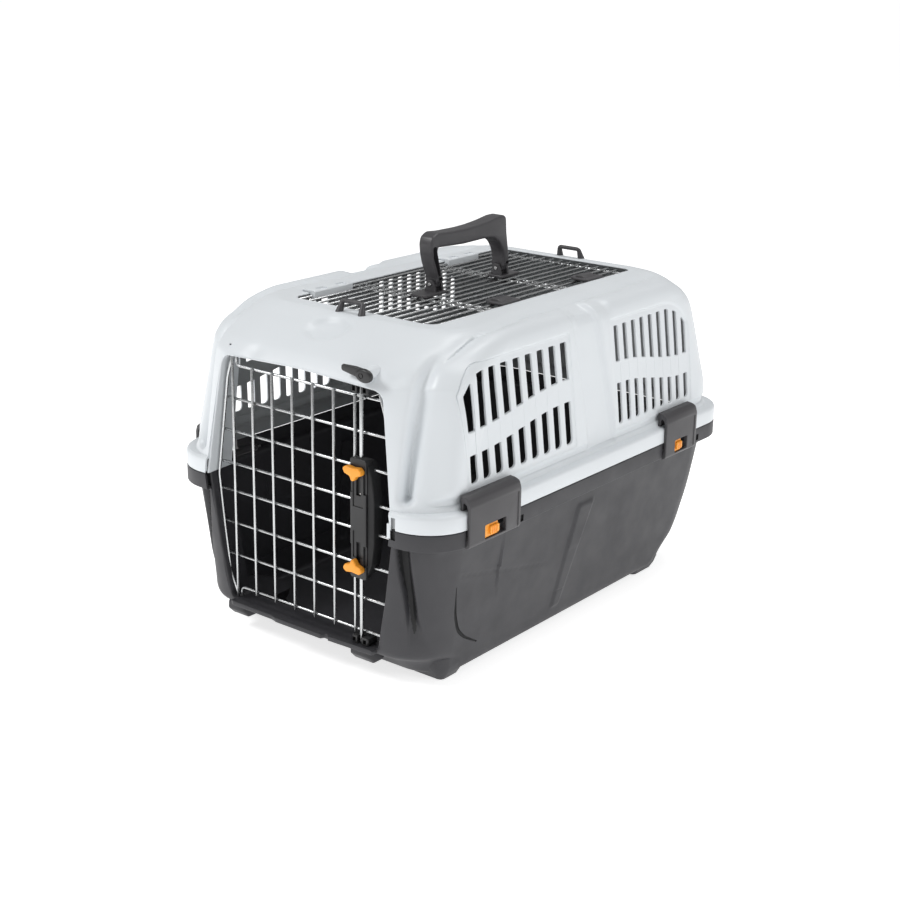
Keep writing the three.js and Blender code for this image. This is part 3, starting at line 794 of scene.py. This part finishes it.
def thicken(obj, inner_slot=0, painted_shade_faces=None):
    """Turns a skin into a wall. Its inner faces, or the faces in painted_shade_faces, can use the second
    slot, where a darker copy of the plastic stands as painted shade.
    """
    wall = obj.modifiers.new("wall", "SOLIDIFY")
    wall.thickness = WALL
    wall.offset = -1
    wall.material_offset = inner_slot
    add_slots(obj, 2)
    if painted_shade_faces is not None:
        obj.data.polygons.foreach_set("material_index", painted_shade_faces.astype(np.int32))
    return settle(obj)


def make_top_shell():
    heights = np.concatenate([np.arange(0.1930, 0.2100, 0.0013), np.arange(0.2100, 0.3020, 0.0021),
                              np.arange(0.3020, 0.3400, 0.0014), np.arange(0.3400, 0.3470, 0.0007),
                              [0.3470, 0.3475, 0.3480, 0.3483, ROOF]])
    rings = flange_rings(PARTING + 0.0003, FLANGE_HIGH, 0.0008, 0.0040)
    rings += form_rings(top_form, heights)
    half, front, rear = HATCH
    last = np.array(top_form.at(ROOF)[0])
    lip = np.array([half + 0.0012, front - 0.0012, rear + 0.0012, 0.0132, 0.0132])
    for share in (0.1, 0.2, 0.32, 0.45, 0.6, 0.75, 0.9, 1.0):
        rings.append(ring(ROOF + 0.0002 * share, *(last + (lip - last) * share)))
    rings.append(ring(ROOF - 0.0002, half + 0.0003, front - 0.0003, rear + 0.0003, 0.0123, 0.0123))
    rings.append(ring(ROOF - 0.0010, half, front, rear, 0.012, 0.012))
    # The inner faces take the pale plastic's darker copy as painted shade.
    shell = thicken(sink(skin("upper_shell", rings), top_relief), inner_slot=1)
    boolean(shell, vent_cutters())
    boolean(shell, line_cutters())
    boolean(shell, panel_line_cutters())
    boolean(shell, opening_cutter())
    boolean(shell, axle_hole(0.2960, 0.3140))
    # The front flange slot's walls in the pale shell are black as painted shade.
    boolean(shell, with_painted_shade(block("slot", (0.1266, -0.300, 0.1700), (0.1318, -0.2728, 0.1870), 0.0002), 2))
    return shell


# ---------------------------------------------------------------- bottom shell
def corner_groove(x, y, z):
    """Steep-walled groove beside the door's jamb, leaning inwards as it falls."""
    wide = np.abs(x)
    inner = 0.1265 + 0.0060 * smooth(0.152, 0.080, z)
    outer = 0.1405 + 0.0025 * smooth(0.152, 0.080, z) + 0.0050 * smooth(0.085, 0.045, z)
    across = smooth(inner - 0.0008, inner + 0.0034, wide)
    across = across * (1 - smooth(outer - 0.0040, outer + 0.0010, wide))
    return across * smooth(0.040, 0.095, z) * (1 - smooth(0.1525, 0.1555, z)) * (y < -0.15)


def groove_shade(x, y, z):
    """True where shade is painted into that groove: its darkest part, which narrows to a point near the
    foot.
    """
    low = smooth(0.152, 0.080, z)
    middle = 0.1330 + 0.0060 * low
    half = 0.0052 * np.sqrt(np.clip((z - 0.062) / 0.070, 0, 1))
    return (np.abs(np.abs(x) - middle) < half) & (y < -0.15) & (z < 0.1555)


def tub_relief(x, y, z):
    wide = np.abs(x)
    second = hump(wide - 0.1640, 0.0042) * smooth(0.060, 0.110, z) * (1 - smooth(0.145, 0.1555, z))
    slant = (z - 0.021) / 0.116
    rib_low, rib_high = -0.042 + 0.0235 * slant, -0.029 + 0.0385 * slant
    rib = between(rib_low, rib_high, 0.002, y) * smooth(0.022, 0.027, z) * (1 - smooth(0.136, 0.141, z))
    rib = rib * (0.75 + 0.25 * smooth(0.0885, 0.0915, z))
    band_line = 0.1180 - 0.22 * (y + 0.216)
    line = hump(z - band_line, 0.0013) * smooth(-0.218, -0.210, y) * (1 - smooth(-0.075, -0.055, y))
    on_side = smooth(0.130, 0.145, wide)
    return (0.0085 * corner_groove(x, y, z) + 0.0020 * second * (y < -0.15)
            + on_side * (0.0007 * line - 0.0024 * rib))


def hook_groove_cutters():
    """A groove beside each front corner that drops, widens, then turns rearwards and thins out."""
    line = fillet([(-0.2172, 0.1065), (-0.2168, 0.0900), (-0.2160, 0.0760), (-0.2083, 0.0559),
                   (-0.1949, 0.0445), (-0.1727, 0.0317)], 0.040, closed=False, steps=8)
    run = np.concatenate([[0], np.cumsum(np.linalg.norm(np.diff(line, axis=0), axis=1))])
    share = run / run[-1]
    radii = 0.0004 + 0.0017 * smooth(0, 0.40, share) * (1 - 0.75 * smooth(0.50, 1.0, share))
    cutters = []
    for side in (1, -1):
        path = []
        for y, z in line:
            x = float(tub_form.side_x(y, z)[0])
            path.append((side * (x - float(tub_relief(x, y, z))), y, z))
        cutters.append(outward(tapered("hook", np.array(path), radii)))
    # The groove's walls get the near-black painted shade.
    return with_painted_shade(merge("hook_cutters", cutters))


def flange_slot_cutters():
    """Small slots, their walls in painted shade: one beside the door and one behind each clip."""
    cutters = [block("slot", (0.1266, -0.300, 0.1645), (0.1318, -0.2728, 0.1800), 0.0002)]
    for low, high, floor, ceiling in ((-0.1445, -0.1380, 0.1585, 0.1654), (0.1990, 0.2040, 0.1600, 0.1670)):
        for near, far in both_spans(0, 0.1805, 0.1900):
            cutters.append(block("slot", (near, low, floor), (far, high, ceiling), 0.0002))
    return with_painted_shade(merge("slots", cutters))


def make_bottom_shell():
    heights = np.concatenate([[0.0070, 0.0074, 0.0080, 0.0090, 0.0105, 0.0125],
                              np.arange(0.0150, 0.0420, 0.0018), np.arange(0.0420, 0.1530, 0.0022),
                              [0.1530, 0.1545, 0.1555]])
    start = np.array(tub_form.at(0.007)[0])
    inner = np.array([0.060, -0.120, 0.100, 0.012, 0.012])
    rings = [ring(0.0070, *(inner + (start - inner) * share)) for share in (0, 0.25, 0.5, 0.75, 0.9)]
    rings += form_rings(tub_form, heights)
    last = np.array(tub_form.at(0.1555)[0])
    rings.append(ring(0.1562, *(last + np.array([0.0006, -0.0006, 0.0006, 0, 0]))))
    rings.append(ring(0.1566, *(last + np.array([0.0016, -0.0012, 0.0016, 0, 0]))))
    rings += flange_rings(FLANGE_LOW - 0.0002, PARTING - 0.0003, 0.0010, 0.0006)
    tub = skin("lower_shell", rings, cap_low=True)
    middles = np.array([tuple(p.center) for p in tub.data.polygons])
    # Faces in the corner groove get the near-black painted shade.
    painted_shade_faces = groove_shade(*middles.T)
    thicken(sink(tub, tub_relief), painted_shade_faces=painted_shade_faces)
    boolean(tub, hook_groove_cutters())
    boolean(tub, flange_slot_cutters())
    boolean(tub, opening_cutter())
    boolean(tub, axle_hole(0.0300, 0.0460))
    return tub


def foot(name, low_y, high_y):
    outline = fillet(rect((0.104, low_y), (0.1436, high_y)), 0.006, steps=5)
    stations = [(0.0, -0.0012), (0.0005, -0.0003), (0.0018, 0.0004), (0.008, 0.0045), (0.016, 0.0085),
                (0.026, 0.0100)]
    place = lambda a, b, t: (a - max(0, t - 0.006) * 0.15, b, t)
    return stack(name, outline, stations, place)


def sill_ledge():
    """Stepped shelf in front of the sill, with the two stop bosses under it."""
    outline = [(-0.0985, -0.2560), (-0.0985, -0.2685), (-0.0940, -0.2705), (-0.0370, -0.2712),
               (-0.0290, -0.2735), (0.0330, -0.2735), (0.0355, -0.2690), (0.0395, -0.2690),
               (0.0420, -0.2722), (0.0985, -0.2700), (0.0985, -0.2560)]
    parts = [slab("ledge", fillet(outline, 0.0015), "z", 0.0335, 0.0383, 0.0010)]
    for x, half in ((-0.098, 0.012), (0.076, 0.013)):
        profile = fillet([(-0.240, 0.034), (-0.262, 0.034), (-0.2625, 0.024), (-0.255, 0.0165),
                          (-0.238, 0.0165)], 0.004)
        parts.append(slab("boss", profile, "x", x - half, x + half, 0.002))
    return parts


# ---------------------------------------------------------------- wires
def door_wires():
    wires = []
    for k in range(1, 7):
        x = HINGE_X + DOOR_PITCH * k
        wires.append(tube("upright", [(x, DOOR_FRONT, 0.0470), (x, DOOR_FRONT, 0.2932)], DOOR_WIRE))
    wires.append(tube("axle", [(HINGE_X, DOOR_FRONT, z) for z in DOOR_AXLE], DOOR_WIRE))
    bow = [(0.0985, 0.2985), (0.1050, 0.2790), (0.1213, 0.1720), (0.1150, 0.1160), (0.1080, 0.0650),
           (0.0990, 0.0450)]
    reach = np.interp(RUNGS, [z for _, z in reversed(bow)], [x for x, _ in reversed(bow)])
    for side in (-1, 1):
        path = fillet([(side * x, DOOR_FRONT, z) for x, z in bow], 0.030, closed=False, steps=6)
        wires.append(tube("bow", path, DOOR_WIRE))
    for z, half in zip(RUNGS[1:-1], reach[1:-1]):
        wires.append(tube("rung", [(-half, DOOR_BACK, z), (half, DOOR_BACK, z)], DOOR_WIRE))
    for z, tip in zip((RUNGS[0], RUNGS[-1]), END_RUNG_TIPS):
        corners = [(-0.0945, DOOR_BACK, tip), (-0.0945, DOOR_BACK, z), (0.100, DOOR_BACK, z)]
        path = fillet(corners, 0.005, closed=False)
        wires.append(tube("end_rung", path, DOOR_WIRE))
    return merge("door_wires", wires)


def hatch_wires():
    wires = []
    pitch = (HATCH_LAST_X - HATCH_AXLE_X) / (HATCH_WIRES - 1)
    for i in range(HATCH_WIRES):
        x = HATCH_AXLE_X + pitch * i
        radius = 0.0015 if i == 0 else 0.00125
        wires.append(tube("long_wire", [(x, -0.1700, HATCH_WIRE_Z), (x, 0.1830, HATCH_WIRE_Z)], radius, 10))
    for y in (-0.166, -BRACKET_Y - 0.006, -BRACKET_Y + 0.006, BRACKET_Y - 0.006, BRACKET_Y + 0.006, 0.179):
        ends = [(HATCH_AXLE_X - 0.0005, y, CROSS_WIRE_Z), (HATCH_LAST_X + 0.0005, y, CROSS_WIRE_Z)]
        wires.append(tube("cross_wire", ends, 0.0015, 10))
    return merge("hatch_wires", wires)


# ---------------------------------------------------------------- door lock
def lock_cuts(places, half, span, depth, corner=0.0):
    """Cutters into the cover's face: one above and one below its middle at each x in places."""
    stations = [(LOCK_FRONT - 0.002, 0), (LOCK_FRONT + depth, 0)]
    cutters = []
    for low, high in both_spans(LOCK_Z, *span):
        for x in places:
            outline = fillet(rect((x - half, low), (x + half, high)), corner)
            cutters.append(stack("lock_cut", outline, stations, PLACES["y"]))
    return cutters


def make_lock():
    x, z, half = LOCK_X, LOCK_Z, LOCK_HALF_WIDTH
    outline = rect((x - half, z - LOCK_HALF_HEIGHT), (x + half, z + LOCK_HALF_HEIGHT))
    cover = slab("lock_cover", fillet(outline, 0.0022, steps=4), "y", LOCK_FRONT, -0.2576, 0.0009)
    boolean(cover, merge("panels", lock_cuts([x], 0.0066, (0.0125, 0.0400), 0.0009, 0.0008)))
    slots = lock_cuts([x], 0.0029, (0.0240, 0.0530), 0.0033)
    notches = lock_cuts([x - 0.0090, x + 0.0090], 0.0020, (0.0265, 0.0480), 0.0016)
    # The slots and notches show near-black painted shade on their walls.
    for cutter in slots + notches:
        boolean(cover, with_painted_shade(cutter))
    finish_piece(cover, "front_door", ["lock_housing_front"], (BLACK, PAINTED_SHADE_BLACK))

    left = x - half
    slope = [(0.0095, 0.059), (0.0150, 0.045), (0.0183, 0.022)]
    back = [(left, z - 0.059)] + [(x + a, z - b) for a, b in slope]
    back += [(x + a, z + b) for a, b in reversed(slope)] + [(left, z + 0.059)]
    body = slab("lock_back", fillet(back, 0.006), "y", -0.2640, -0.2495, 0.0016)
    well = block("well", (left - 0.01, -0.28, z - 0.07), (x + half + 0.0003, -0.2574, z + 0.07), 0.0001)
    boolean(body, well)
    # The back of the housing takes the near-black painted shade, darker than the cover's black plastic.
    finish_piece(body, "front_door", ["lock_housing_back"], PAINTED_SHADE_BLACK)

    for word, side in (("upper", 1), ("lower", -1)):
        start, tip = z + side * 0.016, (0.3023 if side > 0 else 0.0406)
        rod = tube("rod_" + word, [(x, LOCK_Y, start), (x, LOCK_Y, tip)], 0.0020, 16)
        finish_piece(rod, "lock_bolt_" + word, ["lock_rod_" + word], WIRE)
        centre = z + side * KNOB_OFFSET
        wing = [(-0.0148, 0.0028), (-0.0100, 0.0058), (-0.0020, 0.0046), (0.0060, 0.0056),
                (0.0098, 0.0026), (0.0088, -0.0018), (0.0030, -0.0034), (-0.0004, -0.0086),
                (-0.0034, -0.0086), (-0.0052, -0.0040), (-0.0118, -0.0022)]
        outline = fillet([(x + a, centre + side * b) for a, b in wing], 0.0026, steps=4)
        knob = slab("knob_" + word, outline, "y", -0.2735, LOCK_FRONT - 0.0002, 0.0014)
        stem = block("stem", (x - 0.0024, LOCK_FRONT - 0.001, centre - 0.0024),
                     (x + 0.0024, LOCK_Y - 0.0022, centre + 0.0024), 0.0004)
        boolean(knob, stem, "UNION")
        finish_piece(knob, "lock_bolt_" + word, ["lock_knob_" + word], ORANGE)


def make_keepers():
    x = LOCK_X
    for word, low, high in (("upper", 0.2965, 0.3055), ("lower", 0.0382, 0.0462)):
        keeper = block("keeper_" + word, (x - 0.0098, -0.2650, low), (x + 0.0112, -0.2495, high),
                       0.0010, 0.002)
        mouth = block("mouth", (x - 0.0027, -0.275, low - 0.01),
                      (x + 0.0027, LOCK_Y + 0.0027, high + 0.01), 0.0002)
        boolean(keeper, mouth)
        for offset in (-0.0066, 0.0070):
            pocket = block("pocket", (x + offset - 0.0020, -0.275, low + 0.0018),
                           (x + offset + 0.0020, -0.2575, high - 0.0018), 0.0002)
            boolean(keeper, pocket)
        finish_piece(keeper, "carrier", ["rod_keeper_" + word], BLACK)


def make_toggle():
    cx, cz = TOGGLE
    arm = fillet([(cx - 0.0270, cz + 0.0004), (cx - 0.0060, cz - 0.0036), (cx + 0.0040, cz - 0.0040),
                  (cx + 0.0040, cz + 0.0058), (cx - 0.0100, cz + 0.0070), (cx - 0.0270, cz + 0.0064)],
                 [0.0028, 0.02, 0.002, 0.002, 0.02, 0.0028], steps=5)
    toggle = slab("toggle", arm, "y", -0.2725, -0.2690, 0.0013)
    turn = np.linspace(0, 2 * math.pi, 36, endpoint=False)
    oval = np.column_stack([cx + 0.0022 + 0.0100 * np.cos(turn), cz + 0.0068 * np.sin(turn)])
    boolean(toggle, slab("hub", oval, "y", -0.2748, -0.2695, 0.0024, 5), "UNION")
    boolean(toggle, disc("dish", TOGGLE, 0.0028, -0.2760, -0.2740, 0.0003))
    finish_piece(toggle, "toggle", ["safety_toggle"], BLACK)
    return disc("toggle_boss", TOGGLE, 0.0062, -0.2687, -0.2500, 0.0012)


# ---------------------------------------------------------------- roof fittings
def make_hatch_fittings():
    for word, (low, high) in HATCH_HINGES.items():
        profile = fillet([(-0.1050, ROOF + 0.0003), (-0.0930, ROOF + 0.0003), (-0.0928, 0.3408),
                          (-0.0862, 0.3408), (-0.0858, 0.3500), (-0.0880, 0.3516), (-0.1030, 0.3516)],
                         [0.0006, 0.0003] + [0.0012] * 5, steps=3)
        hinge = slab("hatch_hinge_" + word, profile, "y", low, high, 0.0009)
        middle = (low + high) / 2
        for offset in (-0.015, 0.015):
            y = middle + offset
            boolean(hinge, block("notch", (-0.0945, y - 0.006, 0.3502), (-0.080, y + 0.006, 0.356), 0.0006))
        finish_piece(hinge, "carrier", ["roof_hinge_" + word], PALE)
    for word, (low, high) in HATCH_LATCHES.items():
        top = fillet([(0.0660, low + 0.004), (0.0740, low), (0.0926, low), (0.0926, high),
                      (0.0740, high), (0.0660, high - 0.004)], 0.003, steps=4)
        latch = slab("latch_" + word, top, "z", 0.3471, 0.3500, 0.0009)
        arch = fillet([(0.0690, 0.3480), (0.0735, 0.3522), (0.0800, 0.3522), (0.0905, 0.3480)], 0.003,
                      steps=4)
        boolean(latch, slab("arch", arch, "y", low + 0.005, high - 0.005, 0.0010), "UNION")
        near, far = low + 0.004, high - 0.004
        boolean(latch, block("leg", (0.0824, near, 0.3400), (0.0858, far, 0.3490), 0.0004), "UNION")
        boolean(latch, block("foot", (0.0720, near, 0.3380), (0.0926, far, 0.3410), 0.0006), "UNION")
        finish_piece(latch, "hatch_latch_" + word, ["roof_latch_" + word], SATIN)


def tapered(name, path, radii):
    """A bent bar whose radius changes along its path."""
    sides = 14
    bar = tube(name, path, 1.0, sides, dome=False)
    for i, (centre, radius) in enumerate(zip(path, radii)):
        for vertex in bar.data.vertices[i * sides:(i + 1) * sides]:
            vertex.co = Vector(centre) + (vertex.co - Vector(centre)) * radius
    return bar


def make_strap_loops():
    for word, y, lean in (("front", -0.185, -1), ("rear", 0.1955, 1)):
        corners = [(-0.0150, y + lean * 0.0045, 0.3462), (-0.0135, y, 0.3593), (0.0135, y, 0.3593),
                   (0.0150, y + lean * 0.0045, 0.3462)]
        path = fillet(corners, 0.0030, closed=False, steps=6)
        share = np.clip((0.3590 - path[:, 2]) / 0.0125, 0, 1)
        loop = outward(tapered("strap_loop_" + word, path, 0.0023 + 0.0020 * share))
        finish_piece(loop, "carrier", ["strap_loop_" + word], SATIN)


# ---------------------------------------------------------------- handle
def handle_bow():
    """Side view of the bow: outer line over the top, then back along the finger gap."""
    outer = [(-0.0607, 0.3606), (-0.0607, 0.3640), (-0.0645, 0.3720), (-0.0685, 0.3820), (-0.0713, 0.3920),
             (-0.0724, 0.4020), (-0.0695, 0.4090), (-0.0615, 0.4128), (-0.0450, 0.4115), (-0.0160, 0.4112),
             (0.0040, 0.4120), (0.0240, 0.4140), (0.0420, 0.4168), (0.0580, 0.4170),
             (0.0598, 0.3970), (0.0623, 0.3840), (0.0644, 0.3710), (0.0647, 0.3606), (0.0553, 0.3606),
             (0.0553, 0.3690), (0.0532, 0.3770), (0.0460, 0.3880), (0.0340, 0.3944), (0.0180, 0.3956),
             (-0.0160, 0.3949), (-0.0600, 0.3970), (-0.0612, 0.3930), (-0.0575, 0.3790), (-0.0532, 0.3660),
             (-0.0513, 0.3606)]
    radii = [0.0032] + [0.014] * 5 + [0.006, 0.010] + [0.100] * 4 + [0.030, 0.006] + [0.040] * 3
    radii += [0.0032, 0.0032] + [0.020] * 3 + [0.014, 0.030, 0.100, 0.003, 0.003] + [0.030] * 2 + [0.0032]
    return slab("handle_bow", fillet(outer, radii, steps=5), "x", -0.0092, 0.0092, 0.0027, 5)


def handle_recesses():
    """Deep pockets moulded into both side faces of the bow's legs."""
    front = fillet([(-0.0700, 0.3990), (-0.0640, 0.3985), (-0.0562, 0.3665), (-0.0598, 0.3665),
                    (-0.0682, 0.3860)], [0.002, 0.002, 0.001, 0.001, 0.01], steps=4)
    pieces = []
    for side in (-1, 1):
        low, high = sorted((side * 0.0030, side * 0.0200))
        pieces.append(slab("recess", front, "x", low, high, 0.0004))
        for y in (PIVOTS["front"] - 0.0004, PIVOTS["rear"] + 0.0016):
            shape = fillet(rect((y - 0.0030, 0.3622), (y + 0.0026, 0.3652)), 0.0007)
            near, far = low + 0.002 * (side > 0), high - 0.002 * (side < 0)
            pieces.append(slab("pocket", shape, "x", near, far, 0.0003))
    return merge("recesses", pieces)


def make_handle():
    bow = handle_bow()
    for y in PIVOTS.values():
        neck = slab("neck", [(-0.0046, PIVOT_Z - 0.0005), (0.0046, PIVOT_Z - 0.0005), (0.0086, 0.3612),
                             (0.0086, 0.3640), (-0.0086, 0.3640), (-0.0086, 0.3612)],
                    "y", y - 0.0046, y + 0.0046, 0.0006)
        boolean(bow, neck, "UNION")
        boolean(bow, disc("knuckle", (0, PIVOT_Z), 0.0049, y - 0.0046, y + 0.0046, 0.0006), "UNION")
    # The pockets' walls get the near-black painted shade.
    boolean(bow, with_painted_shade(handle_recesses()))
    finish_piece(bow, "handle", ["carry_handle"], (SATIN, PAINTED_SHADE_BLACK), 40)

    for word, pivot in PIVOTS.items():
        y = math.copysign(BRACKET_Y, pivot)
        ends = sorted((pivot - math.copysign(0.010, pivot), y + math.copysign(0.016, y)))
        base = block("bracket_" + word, (-0.0110, ends[0], 0.3470), (0.0110, ends[1], 0.3500),
                     0.0009, 0.003)
        for side in (-1, 1):
            low, high = sorted((pivot + side * 0.0050, pivot + side * 0.0080))
            ear = fillet([(-0.0072, 0.3485), (0.0072, 0.3485), (0.0053, PIVOT_Z),
                          (0.0042, PIVOT_Z + 0.0047), (-0.0042, PIVOT_Z + 0.0047), (-0.0053, PIVOT_Z)],
                         [0, 0, 0.01, 0.0038, 0.0038, 0.01], steps=5)
            boolean(base, slab("ear", ear, "y", low, high, 0.0006), "UNION")
        for x in (-0.0070, 0.0055):
            leg = block("leg", (x - 0.0016, y - 0.0025, 0.3412), (x + 0.0016, y + 0.0025, 0.3480), 0.0004)
            boolean(base, leg, "UNION")
        finish_piece(base, "roof_hatch", ["handle_bracket_" + word], SATIN)
        clamp = block("clamp_" + word, (-0.0130, y - 0.0110, 0.3380), (0.0130, y + 0.0110, 0.3409),
                      0.0008, 0.003)
        finish_piece(clamp, "roof_hatch", ["handle_clamp_" + word], SATIN)
        reach = [(0, pivot - 0.0084, PIVOT_Z), (0, pivot + 0.0084, PIVOT_Z)]
        pin = tube("handle_pin_" + word + "_steel", reach, 0.0020, 16)
        finish_piece(pin, "roof_hatch", ["handle_pin_" + word], STEEL)


# ---------------------------------------------------------------- side clips
def clip_profile():
    """Section of a clip in (x, z): barrel, plate over both flanges, hook on the upper one."""
    corners = [(0.1770, 0.1570, 0.002), (0.1810, 0.1550, 0.003), (0.1846, 0.1558, 0.003),
               (0.1864, 0.1590, 0.004), (0.1864, 0.1970, 0.009), (0.1844, 0.2036, 0.006),
               (0.1796, 0.2070, 0.004), (0.1738, 0.2080, 0.0006), (0.1738, 0.1925, 0.0008),
               (0.1768, 0.1925, 0.0008), (0.1774, 0.2010, 0.003), (0.1812, 0.1995, 0.003),
               (0.1828, 0.1940, 0.004), (0.1828, 0.1650, 0.002), (0.1782, 0.1640, 0.002)]
    return fillet([corner[:2] for corner in corners], [corner[2] for corner in corners], steps=4)


def make_clips():
    for word, (low, high, window) in CLIPS.items():
        clip = slab("clip", clip_profile(), "y", low, high, 0.0010)
        boolean(clip, disc("barrel", CLIP_PIN, 0.0042, low, high, 0.0006), "UNION")
        shape = fillet(rect((low - 0.001, 0.150), (high + 0.001, 0.212)), [0.004, 0.004, 0.014, 0.004],
                       steps=8)
        boolean(clip, slab("trim", shape, "x", 0.165, 0.195, 0.0005), "INTERSECT")
        middle = (low + high) / 2
        near, far = middle - window, middle + window
        bottom, top = CLIP_WINDOW
        opening = fillet(rect((near, bottom), (far, top)), 0.0010)
        hole = stack("window", opening, [(0.1800, 0), (0.1857, 0), (0.1872, 0.0012)], PLACES["x"])
        # The window's walls get the near-black painted shade.
        boolean(clip, with_painted_shade(hole))
        # a sunken field on the rear part of the plate, bounded by a curved step
        field = fillet([(far + 0.0020, 0.1500), (high - 0.0035, 0.1500), (high - 0.0035, 0.1965),
                        (high - 0.0080, 0.1925), (high - 0.0155, 0.1840), (far + 0.0028, 0.1760)],
                       [0.0, 0.0, 0.003, 0.008, 0.012, 0.006], steps=6)
        boolean(clip, stack("field", field, [(0.1856, -0.0006), (0.1900, 0.0014)], PLACES["x"]))
        start = near + 0.0004
        finish = start + 2 * (window - 0.006)
        body = fillet(rect((start, bottom + 0.0006), (finish, top - 0.0006)), 0.001)
        lock = slab("lock", body, "x", 0.1829, 0.1848, 0.0004)
        tab = start + (0.0070 if word == "front" else 0.0022)
        grip = fillet(rect((tab, bottom + 0.0030), (finish - 0.0004, top - 0.0026)), 0.0016)
        boolean(lock, slab("grip", grip, "x", 0.1840, 0.1874, 0.0008), "UNION")
        for offset in (0.0030, 0.0062, 0.0094) if word == "front" else (0.0040, 0.0070):
            y = tab + offset
            boolean(lock, block("groove", (0.1866, y - 0.0006, 0.150), (0.190, y + 0.0006, 0.190), 0.0001))
        ends = [(CLIP_PIN[0], y, CLIP_PIN[1]) for y in (low - 0.0066, high + 0.0066)]
        pin = tube("pin", ends, 0.0016, 12)
        for hand in ("right", "left"):
            tag = word + "_" + hand
            side = 1 if hand == "right" else -1
            plate = side_copy(clip, "clip_plate_" + tag, side)
            slide = side_copy(lock, "clip_lock_piece_" + tag, side)
            axle = side_copy(pin, "clip_pin_piece_" + tag, side)
            finish_piece(plate, "clip_" + tag, ["side_clip_" + tag], (SATIN, PAINTED_SHADE_BLACK))
            finish_piece(slide, "clip_slide_" + tag, ["clip_lock_" + tag], ORANGE)
            finish_piece(axle, "carrier", ["clip_pin_" + tag], STEEL)
        for obj in (clip, lock, pin):
            bpy.data.objects.remove(obj)


# ---------------------------------------------------------------- assembly
def build_shells():
    shell = make_top_shell()
    hood_line = opening_line(HOOD_CORNERS)
    lining = jamb_ribbon("upper_jamb", hood_line, top_form)
    boss = make_toggle()
    finish_piece(shell, "carrier", ["top_shell"], (PALE, PALE_PAINTED_SHADE, BLACK))
    finish_piece(lining, "carrier", [], PALE)
    finish_piece(boss, "carrier", [], PALE)
    tab = block("flange_tab", (0.1217, -0.2753, 0.1652), (0.1258, -0.2730, 0.1800), 0.0004)
    finish_piece(tab, "carrier", [], PALE)

    tub = make_bottom_shell()
    for low_y, high_y in FEET:
        right = foot("foot", low_y, high_y)
        left = side_copy(right, "foot_left")
        boolean(tub, right, "UNION")
        boolean(tub, left, "UNION")
    for low, high, _ in CLIPS.values():
        for near, far in both_spans(0, 0.1729, 0.1900):
            boolean(tub, block("pocket", (near, low - 0.001, 0.144), (far, high + 0.001, 0.1758), 0.0002))
    jamb_line = opening_line(JAMB_CORNERS[::-1])
    lining = jamb_ribbon("lower_jamb", jamb_line, tub_form)
    finish_piece(tub, "carrier", ["bottom_shell"], (DARK, PAINTED_SHADE_BLACK))
    finish_piece(lining, "carrier", [], DARK)
    ledge = merge("sill_ledge", sill_ledge())
    finish_piece(ledge, "carrier", [], DARK)


def build_fittings():
    finish_piece(door_wires(), "front_door", ["front_door_grille"], WIRE, 60)
    finish_piece(hatch_wires(), "roof_hatch", ["roof_grille"], WIRE, 60)
    make_lock()
    make_keepers()
    make_hatch_fittings()
    make_strap_loops()
    make_handle()
    make_clips()
    for node in ("lock_spring_upper", "lock_spring_lower"):
        dress_node(node, STEEL)
    dress_node("safety_toggle_pin", BLACK)


# ---------------------------------------------------------------- studio
def build_floor():
    floor = make_object("floor", [(-30, -30, 0), (30, -30, 0), (30, 30, 0), (-30, 30, 0)], [(0, 1, 2, 3)])
    material, tree, shader = node_material("floor_paper")
    tone = tint(tree, spread(tree, noise(tree, 3), 0, 1), (0.88, 0.88, 0.88), (0.90, 0.90, 0.90))
    tree.links.new(tone, shader.inputs["Base Color"])
    set_inputs(shader, {"Roughness": 0.9, "Specular IOR Level": 0.1, "Emission Color": (1, 1, 1, 1),
                        "Emission Strength": 0.70})
    floor.data.materials.append(material)


def area_light(name, place, target, size, power):
    light = bpy.data.lights.new(name, "AREA")
    light.shape = "DISK"
    light.size = size
    light.energy = power
    lamp = bpy.data.objects.new(name, light)
    bpy.context.scene.collection.objects.link(lamp)
    lamp.location = place
    lamp.rotation_euler = (Vector(target) - Vector(place)).to_track_quat("-Z", "Y").to_euler()


def build_lights():
    world = bpy.data.worlds.new("studio")
    world.use_nodes = True
    set_inputs(world.node_tree.nodes["Background"], {"Color": (1.0, 1.0, 1.0, 1), "Strength": 0.36})
    bpy.context.scene.world = world
    bpy.context.scene.view_settings.view_transform = "Standard"
    area_light("key", (-1.3, -1.9, 2.2), (0, 0, 0.2), 0.9, 36)
    area_light("side", (2.7, 0.1, 1.4), (0, 0, 0.15), 1.2, 14)
    area_light("top", (0.2, 0.6, 2.6), (0, 0, 0.3), 1.2, 21)


def build_camera():
    turn, lift, tilt = (math.radians(angle) for angle in CAMERA_ANGLES)
    back = Vector((math.cos(lift) * math.sin(turn), -math.cos(lift) * math.cos(turn), math.sin(lift)))
    right = Vector((math.cos(turn), math.sin(turn), 0))
    up = right.cross(-back)
    x_axis = right * math.cos(tilt) + up * math.sin(tilt)
    y_axis = up * math.cos(tilt) - right * math.sin(tilt)
    data = bpy.data.cameras.new("camera")
    data.lens = CAMERA_LENS
    data.sensor_width = 36
    data.clip_end = 100
    camera = bpy.data.objects.new("camera", data)
    bpy.context.scene.collection.objects.link(camera)
    axes = Matrix((x_axis, y_axis, back)).transposed().to_4x4()
    camera.matrix_world = Matrix.Translation(CAMERA_PLACE) @ axes
    bpy.context.scene.camera = camera


build_camera()
build_shells()
build_fittings()
build_floor()
build_lights()
